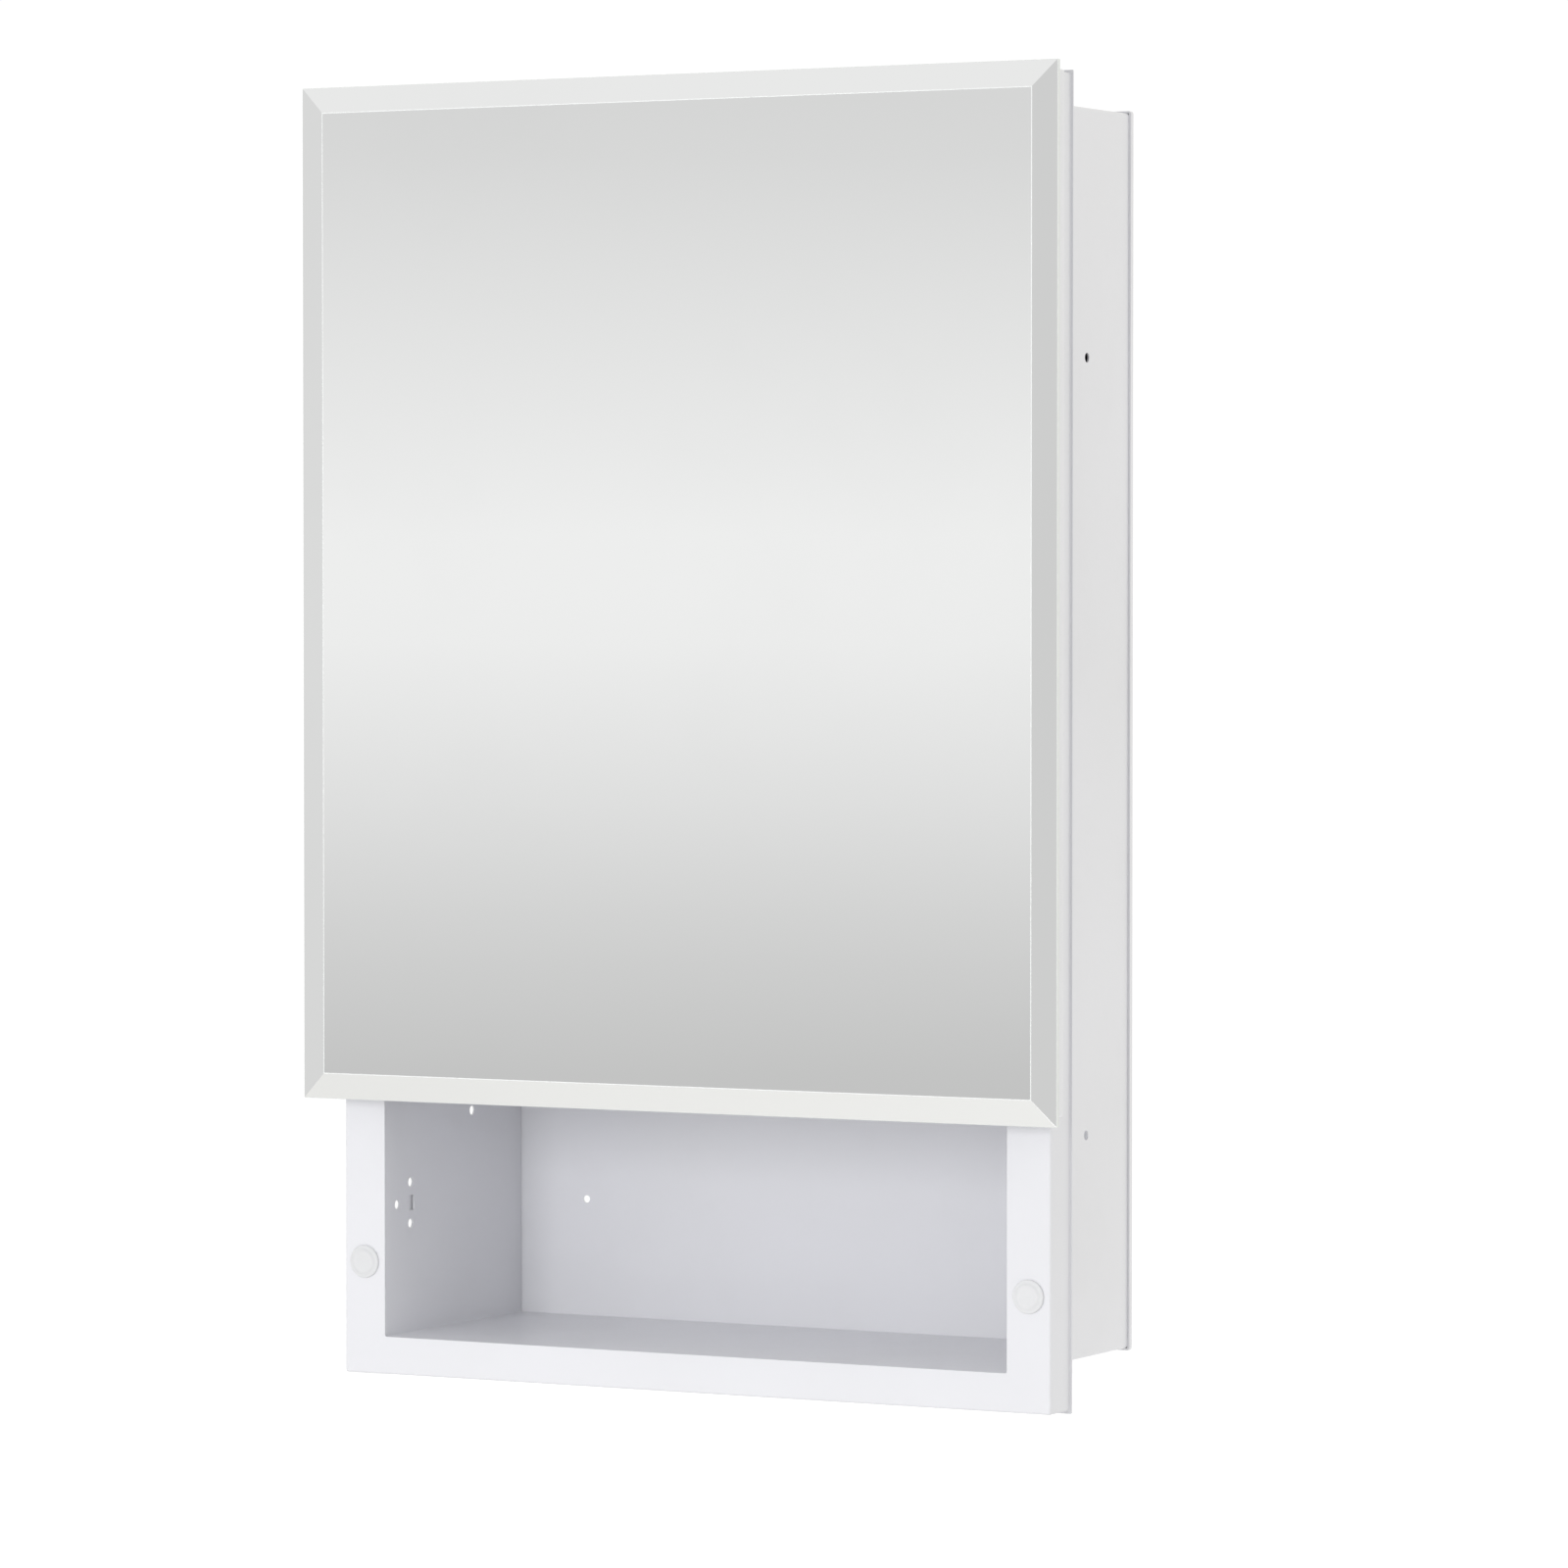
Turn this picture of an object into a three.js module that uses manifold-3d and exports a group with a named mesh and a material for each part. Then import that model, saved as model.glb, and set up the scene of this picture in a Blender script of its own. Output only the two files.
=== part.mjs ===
// Recessed bathroom cabinet in white enamelled steel: a bevelled mirror door on a
// full-height hinge hangs over the upper compartment, above an open niche.
// Working frame: millimetres, X to the right, Y into the wall with y = 0 on the wall's
// surface, Z up from the bottom edge of the face frame. The last lines move the origin
// to the middle of the back panel's outer face.

import * as THREE from 'three';
import { mergeVertices } from 'three/addons/utils/BufferGeometryUtils.js';
import { ConvexGeometry } from 'three/addons/geometries/ConvexGeometry.js';
import Module from 'manifold-3d';

const wasm = await Module();
wasm.setup();

// ---------------------------------------------------------------- driving dimensions

// Face frame
const frameWidth = 406.4;
const frameHeight = 660.4;
const frameDepth = 22;
const frameSheet = 0.9;
const stileWidth = 24;
const bottomRail = 19.5;
const topRail = 13;
const rimLip = 1.5;
const frameCornerRadius = 1.2;

// Body behind the frame
const bodyDepth = 120;
const bodySheet = 0.9;
const bodyCornerRadius = 2;
const flangeClearance = 2.1;
const backFlange = 4;

// Open niche
const nicheHeight = 124.5;
const dividerLip = 12;
const dividerFlange = 10;
const dividerSetback = 2;
const dividerRivetSpacing = 24;

// Mirror door
const doorOverhangSide = 12.7;
const doorOverhangTop = 3.8;
const doorBottomAboveFrame = 143.5;
const mirrorThickness = 5;
const bevelWidth = 13;
const bevelDrop = 2;
const panSheet = 0.8;
const panDepth = 12.3;
const panInset = 4;
const panLip = 12;
const tapeThickness = 0.6;
const tapeWidth = 10;
const foamMargin = 1;

// Continuous hinge
const hingeSheet = 0.9;
const hingeEndMargin = 12;
const hingeKnuckles = 15;
const knuckleGap = 0.4;
const hingePinRadius = 1.2;
const hingePinPlay = 0.12;
const frameLeafWidth = 14;
const doorLeafWidth = 16.6;
const hingeRivets = 3;
const hingeRivetEnd = 30;

// Rivets
const rivetShankRadius = 1.6;
const rivetHeadRadius = 3.2;
const rivetHeadHeight = 1.2;
const rivetTailRadius = 2.3;
const rivetTailLength = 1.8;

// Hole plugs in the stiles
const plugHoleRadius = 6.35;
const plugCapRim = 2.15;
const plugCapHeight = 2.2;
const plugHeight = 58;
const plugSkirtWall = 1.2;
const plugSkirtLength = 6;

// Glass shelves, on clips in front and welded rests behind
const shelfGlass = 5;
const shelfFrontSetback = 12;
const shelfRearGap = 11;
const shelfEndPlay = 1;
const shelfCount = 2;
const clipWidth = 12;
const clipPlate = 2.5;
const clipLedge = 9;
const clipDrop = 7;
const clipRise = 7;
const clipStemRadius = 2.3;
const clipStemPlay = 0.3;
const clipBarb = 0.5;
const clipInset = 18;
const restWidth = 16;
const restLeg = 12;
const restGrip = 6;
const restFromCentre = 110;

// Magnetic catch and its wall pattern
const catchScrewSpacing = 21.5;
const catchScrewDepth = 26;
const catchScrewPlay = 0.5;
const catchPegDepth = 12.5;
const catchSlotDepth = 27;
const catchSlotWidth = 4.8;
const catchSlotLength = 8;
const catchPatternInNiche = 67.5;
const catchBase = 2.5;
const catchBoxEnd = 2.7;
const catchBoxRear = 4.4;
const catchEar = 6;
const catchWall = 1.4;
const magnetWidth = 4.8;
const magnetHeight = 24;
const magnetLength = 9;
const poleThickness = 1.2;
const poleProud = 1.2;
const screwHeadRadius = 3.2;
const screwHeadHeight = 1.9;
const screwShankRadius = 1.9;
const screwTipLength = 2.5;
const strikeThickness = 1.2;
const strikeWidth = 14;
const strikeHeight = 52;
const strikeRivetEnd = 6;

// Bumpers on the door
const bumperRadius = 4;
const bumperEdge = 40;

// Screw holes through the body
const sideHoleRadius = 2.5;
const sideHoleDepth = 67;
const sideHoleLow = 111.5;
const sideHoleHigh = 125.5;
const backHoleRadius = 2;
const backHoleFromWall = 40;
const backHoleFromEnd = 62;

// Clearances and roundness
const gap = 0.3;
const rivetPlay = 0.35;
const overcut = 1;
const holeReach = 3;
const sidesSmall = 12;
const sidesRivet = 8;
const sidesRound = 24;

// ---------------------------------------------------------------- derived places

const frameHalf = frameWidth / 2;
const frameFace = -frameDepth;
const openingHalf = frameHalf - stileWidth;
const openingTop = frameHeight - topRail;
const wrapperHalf = openingHalf + bodySheet;
const wrapperFront = frameFace + frameSheet + gap;
const wrapperFlange = Math.min(stileWidth, bottomRail, topRail) - frameSheet - flangeClearance;
const wrapperBack = bodyDepth - bodySheet - gap;
const wrapperLow = bottomRail - bodySheet;
const wrapperHigh = openingTop + bodySheet;
const backInside = bodyDepth - bodySheet;
const dividerUnder = bottomRail + nicheHeight + dividerLip;
const dividerTop = dividerUnder + bodySheet;
const doorHalf = frameHalf + doorOverhangSide;
const doorLow = doorBottomAboveFrame;
const doorHigh = frameHeight + doorOverhangTop;
const doorGap = hingeSheet + rivetHeadHeight + gap * 3;
const panBack = frameFace - doorGap;
const panFront = panBack - panDepth;
const panHalf = doorHalf - panInset;
const panLow = doorLow + panInset;
const panHigh = doorHigh - panInset;
const mirrorBack = panFront - gap - tapeThickness - gap;
const mirrorFront = mirrorBack - mirrorThickness;
const paddingFront = mirrorBack + gap;
const foamBack = panBack - panSheet - gap - rivetTailLength - gap;
const hingeBoreRadius = hingePinRadius + hingePinPlay;
const knuckleRadius = hingeBoreRadius + hingeSheet;
const hingeX = -frameHalf - gap - knuckleRadius;
const hingeY = panBack + gap + knuckleRadius;
const hingeLow = doorLow + hingeEndMargin;
const hingeHigh = doorHigh - hingeEndMargin;
const plugX = frameHalf - stileWidth / 2;
const plugCapRadius = plugHoleRadius + plugCapRim;
const clipHoleRadius = clipStemRadius + clipStemPlay;
const catchHoleRadius = screwShankRadius + catchScrewPlay;
const shelfRoom = (openingTop - dividerTop) / (shelfCount + 1);
const shelfHalf = openingHalf - gap - clipPlate - shelfEndPlay;
const shelfFront = shelfFrontSetback;
const shelfBack = backInside - shelfRearGap;
const clipDepth = shelfFront + clipInset;
const catchHeight = (doorLow + doorHigh) / 2;

// ---------------------------------------------------------------- making and cutting

const enamel = { color: 0xf1f1f2, roughness: 0.35, metalness: 0.0 };
const zinc = { color: 0xb9bbbd, roughness: 0.4, metalness: 1.0 };
const silver = { color: 0xdcdedf, roughness: 0.04, metalness: 1.0 };
const clearGlass = { color: 0xcfe3dc, roughness: 0.05, metalness: 0.0 };
const whitePlastic = { color: 0xf3f3f4, roughness: 0.4, metalness: 0.0 };
const clearPlastic = { color: 0xe6eaec, roughness: 0.25, metalness: 0.0 };
const ferrite = { color: 0x2b2b2e, roughness: 0.8, metalness: 0.0 };
const foam = { color: 0xe9e7df, roughness: 0.95, metalness: 0.0 };
const tape = { color: 0xf4f4f0, roughness: 0.85, metalness: 0.0 };

function toSolid(geometry) {
  const bare = geometry.index ? geometry.toNonIndexed() : geometry.clone();
  for (const name of Object.keys(bare.attributes)) {
    if (name !== 'position') bare.deleteAttribute(name);
  }
  const welded = mergeVertices(bare, 1e-4);
  return new wasm.Manifold(new wasm.Mesh({
    numProp: 3,
    vertProperties: new Float32Array(welded.attributes.position.array),
    triVerts: new Uint32Array(welded.index.array),
  }));
}

function toGeometry(solid) {
  const mesh = solid.getMesh();
  const geometry = new THREE.BufferGeometry();
  geometry.setAttribute('position', new THREE.BufferAttribute(mesh.vertProperties, 3));
  geometry.setIndex(new THREE.BufferAttribute(mesh.triVerts, 1));
  return geometry;
}

function join(solids) {
  return solids.reduce((whole, solid) => whole.add(solid));
}

function cut(solid, tools) {
  return tools.reduce((rest, tool) => rest.subtract(tool), solid);
}

// A box between two opposite corners.
function block(low, high) {
  const geometry = new THREE.BoxGeometry(high[0] - low[0], high[1] - low[1], high[2] - low[2]);
  geometry.translate((low[0] + high[0]) / 2, (low[1] + high[1]) / 2, (low[2] + high[2]) / 2);
  return toSolid(geometry);
}

// A round rod between two distances along one axis through the given point.
function rod(axis, centre, radius, from, to, sides = sidesSmall) {
  const geometry = new THREE.CylinderGeometry(radius, radius, to - from, sides);
  geometry.translate(0, (from + to) / 2, 0);
  if (axis === 'x') geometry.rotateZ(-Math.PI / 2);
  if (axis === 'z') geometry.rotateX(Math.PI / 2);
  geometry.translate(centre[0], centre[1], centre[2]);
  return toSolid(geometry);
}

// A plate standing in the XZ plane with rounded corners, between two depths.
function plate(half, low, high, radius, front, back) {
  const shape = new THREE.Shape();
  shape.moveTo(-half + radius, low);
  shape.lineTo(half - radius, low);
  shape.absarc(half - radius, low + radius, radius, -Math.PI / 2, 0, false);
  shape.lineTo(half, high - radius);
  shape.absarc(half - radius, high - radius, radius, 0, Math.PI / 2, false);
  shape.lineTo(-half + radius, high);
  shape.absarc(-half + radius, high - radius, radius, Math.PI / 2, Math.PI, false);
  shape.lineTo(-half, low + radius);
  shape.absarc(-half + radius, low + radius, radius, Math.PI, Math.PI * 1.5, false);
  const options = { depth: back - front, bevelEnabled: false, curveSegments: 3 };
  const geometry = new THREE.ExtrudeGeometry(shape, options);
  geometry.rotateX(Math.PI / 2);
  geometry.translate(0, back, 0);
  return toSolid(geometry);
}

// A turned piece: the profile lists radius and distance along its axis, and the axis
// points along the given direction from the given place.
function turned(profile, place, direction, sides = sidesSmall) {
  const points = profile.map(([radius, along]) => new THREE.Vector2(radius, along));
  const geometry = new THREE.LatheGeometry(points, sides);
  const up = new THREE.Vector3(0, 1, 0);
  const turn = new THREE.Quaternion().setFromUnitVectors(up, new THREE.Vector3(...direction));
  geometry.applyQuaternion(turn);
  geometry.translate(place[0], place[1], place[2]);
  return toSolid(geometry);
}

const cabinet = new THREE.Group();
cabinet.name = 'medicine_cabinet';

function addPiece(name, solid, look) {
  const mesh = new THREE.Mesh(toGeometry(solid), new THREE.MeshStandardMaterial(look));
  mesh.name = name;
  cabinet.add(mesh);
}

// ---------------------------------------------------------------- face frame

// One drawn sheet: flat face with the opening, sides turned back to the wall, and a
// small lip turned out where they meet it. Each stile has one plugged hole.
function frontFrame() {
  const outside = plate(frameHalf, 0, frameHeight, frameCornerRadius, frameFace, 0);
  const lip = plate(frameHalf + rimLip, -rimLip, frameHeight + rimLip, frameCornerRadius + rimLip,
    -frameSheet, 0);
  const hollow = plate(frameHalf - frameSheet, frameSheet, frameHeight - frameSheet,
    frameCornerRadius / 2, frameFace + frameSheet, overcut);
  const opening = plate(openingHalf, bottomRail, openingTop, bodyCornerRadius - bodySheet,
    frameFace - overcut, 0);
  return cut(join([outside, lip]), [
    hollow,
    opening,
    ...plugHoles(plugHoleRadius),
    ...rivetHoles(frameRivetPlaces(), 'x', -frameHalf),
  ]);
}

function plugHoles(radius) {
  return [-plugX, plugX].map((x) => rod('y', [x, frameFace, plugHeight], radius,
    -overcut, frameSheet + gap + bodySheet + overcut, sidesRound));
}

function rivetHoles(places, axis, near) {
  const along = { x: 0, y: 1 }[axis];
  return places.map((place) => {
    const start = [...place];
    start[along] = near;
    return rod(axis, start, rivetShankRadius + rivetPlay, -holeReach, holeReach);
  });
}

// A rivet drawn up through two sheets: low dome outside, bulged tail inside. Its place
// is the outer sheet's face and its direction points out of that face.
function rivet(place, direction, grip) {
  const tailTop = -grip - gap;
  return turned([
    [0, tailTop - rivetTailLength],
    [rivetTailRadius * 0.7, tailTop - rivetTailLength],
    [rivetTailRadius, tailTop - rivetTailLength / 2],
    [rivetTailRadius, tailTop],
    [rivetShankRadius, tailTop],
    [rivetShankRadius, gap],
    [rivetHeadRadius, gap],
    [rivetHeadRadius * 0.8, gap + rivetHeadHeight * 0.6],
    [0, gap + rivetHeadHeight],
  ], place, direction, sidesRivet);
}

// ---------------------------------------------------------------- body

// A sheet bent round the four sides, with its front edge flanged outward behind the
// face frame. The side walls carry the shelf clip holes, the catch patterns and the
// screw holes for the wall studs.
function cabinetWrapper() {
  const outside = plate(wrapperHalf, wrapperLow, wrapperHigh, bodyCornerRadius,
    wrapperFront, wrapperBack);
  const flange = plate(openingHalf + wrapperFlange, bottomRail - wrapperFlange,
    openingTop + wrapperFlange, bodyCornerRadius, wrapperFront, wrapperFront + bodySheet);
  const inside = plate(openingHalf, bottomRail, openingTop, bodyCornerRadius - bodySheet,
    wrapperFront - overcut, wrapperBack + overcut);
  const holes = [];
  for (const side of [-1, 1]) {
    const wall = side * openingHalf;
    for (const z of shelfHeights()) {
      holes.push(rod('x', [wall, clipDepth, z], clipHoleRadius, -holeReach, holeReach));
    }
    for (const z of [bottomRail + catchPatternInNiche, catchHeight]) {
      holes.push(...catchPattern(wall, z));
    }
    for (const z of [bottomRail + sideHoleLow, wrapperHigh - sideHoleHigh]) {
      holes.push(rod('x', [wall, sideHoleDepth, z], sideHoleRadius, -holeReach, holeReach));
    }
  }
  return cut(join([outside, flange]), [
    inside,
    ...holes,
    ...plugHoles(plugHoleRadius + gap),
    ...rivetHoles(dividerRivetPlaces(-1), 'x', -openingHalf),
    ...rivetHoles(dividerRivetPlaces(1), 'x', openingHalf),
  ]);
}

// Two screw holes one above the other, a slot between them for a locating lug, and a
// peg hole nearer the front.
function catchPattern(wall, z) {
  const screwY = frameFace + catchScrewDepth;
  const slotY = frameFace + catchSlotDepth;
  const pegY = frameFace + catchPegDepth;
  const screws = [-1, 1].map((end) => rod('x', [wall, screwY, z + end * catchScrewSpacing / 2],
    catchHoleRadius, -holeReach, holeReach));
  const peg = rod('x', [wall, pegY, z], catchHoleRadius, -holeReach, holeReach);
  const slot = block([wall - holeReach, slotY - catchSlotWidth / 2, z - catchSlotLength / 2],
    [wall + holeReach, slotY + catchSlotWidth / 2, z + catchSlotLength / 2]);
  return [...screws, peg, slot];
}

// A shallow pan that closes the body from behind, its edges lapping over the outside.
function backPanel() {
  const reach = gap + bodySheet;
  const outside = plate(wrapperHalf + reach, wrapperLow - reach, wrapperHigh + reach,
    bodyCornerRadius + reach, bodyDepth - backFlange, bodyDepth);
  const inside = plate(wrapperHalf + gap, wrapperLow - gap, wrapperHigh + gap,
    bodyCornerRadius + gap, bodyDepth - backFlange - overcut, backInside);
  const holes = [];
  for (const x of [-openingHalf + backHoleFromWall, openingHalf - backHoleFromWall]) {
    for (const z of [bottomRail + backHoleFromEnd, openingTop - backHoleFromEnd]) {
      holes.push(rod('y', [x, bodyDepth, z], backHoleRadius, -holeReach, holeReach));
    }
  }
  return cut(outside, [inside, ...holes]);
}

// The niche's ceiling: a folded shelf with a lip down at the front and flanges up at
// the sides and the back, riveted to the side walls and welded to the back panel.
function dividerShelf() {
  const half = openingHalf - gap;
  const front = wrapperFront + dividerSetback;
  const back = backInside - gap;
  const sheet = block([-half, front, dividerUnder], [half, back, dividerTop]);
  const lip = block([-half, front, dividerUnder - dividerLip], [half, front + bodySheet, dividerTop]);
  const rear = block([-half, back - bodySheet, dividerUnder], [half, back, dividerTop + dividerFlange]);
  const sides = [-1, 1].map((side) => {
    const edges = [side * half, side * (half - bodySheet)].sort((a, b) => a - b);
    return block([edges[0], front + dividerFlange, dividerUnder],
      [edges[1], back, dividerTop + dividerFlange]);
  });
  return cut(join([sheet, lip, rear, ...sides]), [
    ...rivetHoles(dividerRivetPlaces(-1), 'x', -half),
    ...rivetHoles(dividerRivetPlaces(1), 'x', half),
  ]);
}

function dividerRivetPlaces(side) {
  const x = side * (openingHalf - gap - bodySheet);
  const z = dividerTop + dividerFlange / 2;
  const front = wrapperFront + dividerSetback + dividerFlange * 3;
  return [[x, front, z], [x, front + dividerRivetSpacing, z]];
}

// ---------------------------------------------------------------- plugs, clips, shelves

// A press-in cover for an unused hole: flat domed cap and a springy hollow skirt.
function holePlug(x) {
  const skirt = plugHoleRadius - gap;
  const depth = frameSheet + gap + bodySheet + gap;
  return turned([
    [0, -gap],
    [skirt - plugSkirtWall, -gap],
    [skirt - plugSkirtWall, -plugSkirtLength],
    [skirt - gap, -plugSkirtLength],
    [skirt + gap * 2, -depth - gap],
    [skirt, -depth],
    [skirt, gap],
    [plugCapRadius, gap],
    [plugCapRadius, gap + plugCapHeight * 0.3],
    [plugCapRadius * 0.93, gap + plugCapHeight * 0.75],
    [plugCapRadius * 0.72, gap + plugCapHeight],
    [0, gap + plugCapHeight],
  ], [x, frameFace, plugHeight], [0, -1, 0], sidesRound);
}

function shelfHeights() {
  return Array.from({ length: shelfCount }, (_, i) => dividerTop + shelfRoom * (i + 1));
}

// A moulded bracket: upright plate against the wall, a ledge under the glass and a
// stem that snaps through the wall.
function shelfClip(side, z) {
  const wall = openingHalf - gap;
  const near = clipDepth - clipWidth / 2;
  const far = clipDepth + clipWidth / 2;
  const span = (a, b) => [side * a, side * b].sort((p, q) => p - q);
  const upright = span(wall - clipPlate, wall);
  const ledge = span(wall - clipPlate - clipLedge, wall);
  const plateBlock = block([upright[0], near, z - clipDrop], [upright[1], far, z + clipRise]);
  const ledgeBlock = block([ledge[0], near, z - clipPlate], [ledge[1], far, z]);
  const through = bodySheet + gap * 2;
  const stem = turned([
    [0, -gap],
    [clipStemRadius, -gap],
    [clipStemRadius, through],
    [clipStemRadius + clipBarb, through + gap],
    [clipStemRadius * 0.7, through + clipStemRadius],
    [0, through + clipStemRadius],
  ], [side * wall, clipDepth, z], [side, 0, 0], sidesRivet);
  return join([plateBlock, ledgeBlock, stem]);
}

// A small steel angle spot-welded to the back panel, its ledge under the glass.
function shelfRest(side, z) {
  const back = backInside - gap;
  const left = side * restFromCentre - restWidth / 2;
  const right = left + restWidth;
  const ledge = block([left, shelfBack - restGrip, z - bodySheet], [right, back, z]);
  const leg = block([left, back - bodySheet, z - restLeg], [right, back, z]);
  return join([ledge, leg]);
}

function glassShelf(z) {
  return block([-shelfHalf, shelfFront, z + gap], [shelfHalf, shelfBack, z + gap + shelfGlass]);
}

// ---------------------------------------------------------------- magnetic catch

const catchWallFace = openingHalf - gap;
const catchStack = magnetWidth + 2 * (poleThickness + gap);
const catchBoxWidth = catchStack + 2 * (gap + catchWall);
const catchBoxHeight = magnetHeight + 2 * (gap + catchBoxEnd);
const catchBoxLength = magnetLength + catchBoxRear + gap + catchWall;
const catchMiddle = catchWallFace - catchBoxWidth / 2;
const strikeFront = panBack + gap;
const strikeBack = strikeFront + strikeThickness;
const poleFront = strikeBack + gap;
const catchFront = poleFront + poleProud;

// The housing: a box open to the front for the magnet, on a base with two screw ears, a
// locating lug and a peg that pass through the wall.
function catchHousing() {
  const screwY = frameFace + catchScrewDepth;
  const boxBack = catchFront + catchBoxLength;
  const base = block([catchWallFace - catchBase, catchFront, catchHeight - catchBoxHeight / 2],
    [catchWallFace, screwY + catchEar, catchHeight + catchBoxHeight / 2]);
  const box = block([catchWallFace - catchBoxWidth, catchFront, catchHeight - catchBoxHeight / 2],
    [catchWallFace, boxBack, catchHeight + catchBoxHeight / 2]);
  const pocket = block([catchMiddle - catchStack / 2 - gap, catchFront - overcut,
    catchHeight - magnetHeight / 2 - gap],
  [catchMiddle + catchStack / 2 + gap, boxBack - catchWall, catchHeight + magnetHeight / 2 + gap]);
  const slotY = frameFace + catchSlotDepth;
  const lug = block([catchWallFace - gap, slotY - catchSlotWidth / 2 + gap,
    catchHeight - catchSlotLength / 2 + gap],
  [wrapperHalf + gap, slotY + catchSlotWidth / 2 - gap, catchHeight + catchSlotLength / 2 - gap]);
  const pegY = frameFace + catchPegDepth;
  const peg = rod('x', [catchWallFace, pegY, catchHeight], catchHoleRadius - gap,
    -gap, gap + bodySheet + gap);
  const screwHoles = catchScrewHeights().map((z) => rod('x', [catchWallFace, screwY, z],
    screwShankRadius + gap, -catchBase - overcut, overcut));
  return cut(join([base, box, lug, peg]), [pocket, ...screwHoles]);
}

function catchScrewHeights() {
  return [catchHeight - catchScrewSpacing / 2, catchHeight + catchScrewSpacing / 2];
}

function catchMagnet() {
  const front = poleFront + poleProud;
  return block([catchMiddle - magnetWidth / 2, front, catchHeight - magnetHeight / 2],
    [catchMiddle + magnetWidth / 2, front + magnetLength, catchHeight + magnetHeight / 2]);
}

function polePlate(side) {
  const inner = magnetWidth / 2 + gap;
  const xs = [catchMiddle + side * inner, catchMiddle + side * (inner + poleThickness)];
  xs.sort((a, b) => a - b);
  return block([xs[0], poleFront, catchHeight - magnetHeight / 2],
    [xs[1], poleFront + magnetLength + poleProud, catchHeight + magnetHeight / 2]);
}

function catchScrew(z) {
  const through = catchBase + gap + bodySheet + screwTipLength;
  return turned([
    [0, -through],
    [screwShankRadius, -through + screwShankRadius],
    [screwShankRadius, gap],
    [screwHeadRadius, gap],
    [screwHeadRadius, gap + screwHeadHeight * 0.3],
    [screwHeadRadius * 0.6, gap + screwHeadHeight * 0.92],
    [0, gap + screwHeadHeight],
  ], [catchWallFace - catchBase, frameFace + catchScrewDepth, z], [-1, 0, 0]);
}

function strikePlate() {
  return cut(block([catchMiddle - strikeWidth / 2, strikeFront, catchHeight - strikeHeight / 2],
    [catchMiddle + strikeWidth / 2, strikeBack, catchHeight + strikeHeight / 2]),
  rivetHoles(strikeRivetPlaces(), 'y', strikeBack));
}

function strikeRivetPlaces() {
  const reach = strikeHeight / 2 - strikeRivetEnd;
  return [-1, 1].map((end) => [catchMiddle, strikeBack, catchHeight + end * reach]);
}

// ---------------------------------------------------------------- hinge

function knuckleSpans(parity) {
  const pitch = (hingeHigh - hingeLow) / hingeKnuckles;
  const spans = [];
  for (let i = parity; i < hingeKnuckles; i += 2) {
    spans.push([hingeLow + i * pitch + knuckleGap / 2, hingeLow + (i + 1) * pitch - knuckleGap / 2]);
  }
  return spans;
}

function barrel([low, high]) {
  return rod('z', [hingeX, hingeY, 0], knuckleRadius, low, high);
}

const pinBore = rod('z', [hingeX, hingeY, 0], hingeBoreRadius, hingeLow - overcut, hingeHigh + overcut);

// The leaf on the frame's side, flat against it, with every other knuckle.
function frameLeaf() {
  const outer = -frameHalf - gap - hingeSheet;
  const clear = hingeY + knuckleRadius + gap;
  const leaf = block([outer, clear, hingeLow], [outer + hingeSheet, hingeY + frameLeafWidth, hingeHigh]);
  const arms = knuckleSpans(0).map(([low, high]) => block([outer, hingeY, low],
    [outer + hingeSheet, clear + gap, high]));
  const solid = join([leaf, ...arms, ...knuckleSpans(0).map(barrel)]);
  return cut(solid, [pinBore, ...rivetHoles(frameRivetPlaces(), 'x', outer)]);
}

// The leaf on the back of the door pan, with the knuckles in between.
function doorLeaf() {
  const rear = panBack + gap;
  const clear = hingeX + knuckleRadius + gap;
  const leaf = block([clear, rear, hingeLow], [hingeX + doorLeafWidth, rear + hingeSheet, hingeHigh]);
  const arms = knuckleSpans(1).map(([low, high]) => block([hingeX, rear, low],
    [clear + gap, rear + hingeSheet, high]));
  const solid = join([leaf, ...arms, ...knuckleSpans(1).map(barrel)]);
  return cut(solid, [pinBore, ...rivetHoles(doorRivetPlaces(), 'y', rear + hingeSheet)]);
}

// The rivets sit beside knuckles of their own leaf, at the ends and the middle.
function hingeRivetHeights() {
  const span = hingeHigh - hingeLow - 2 * hingeRivetEnd;
  return Array.from({ length: hingeRivets }, (_, i) => hingeLow + hingeRivetEnd
    + span * i / (hingeRivets - 1));
}

function frameRivetPlaces() {
  const x = -frameHalf - gap - hingeSheet;
  return hingeRivetHeights().map((z) => [x, hingeY + frameLeafWidth - rivetHeadRadius - overcut, z]);
}

function doorRivetPlaces() {
  const x = hingeX + doorLeafWidth - rivetHeadRadius - overcut;
  return hingeRivetHeights().map((z) => [x, panBack + gap + hingeSheet, z]);
}

// ---------------------------------------------------------------- mirror door

// A folded steel tray, closed behind and on its edges, with lips turned in at the front
// that carry the glass.
function doorPan() {
  const outside = block([-panHalf, panFront, panLow], [panHalf, panBack, panHigh]);
  const hollow = block([-panHalf + panSheet, panFront + panSheet, panLow + panSheet],
    [panHalf - panSheet, panBack - panSheet, panHigh - panSheet]);
  const window = block([-panHalf + panLip, panFront - overcut, panLow + panLip],
    [panHalf - panLip, panFront + panSheet * 2, panHigh - panLip]);
  return cut(outside, [
    hollow,
    window,
    ...rivetHoles(doorRivetPlaces(), 'y', panBack),
    ...rivetHoles(strikeRivetPlaces(), 'y', panBack),
  ]);
}

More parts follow.
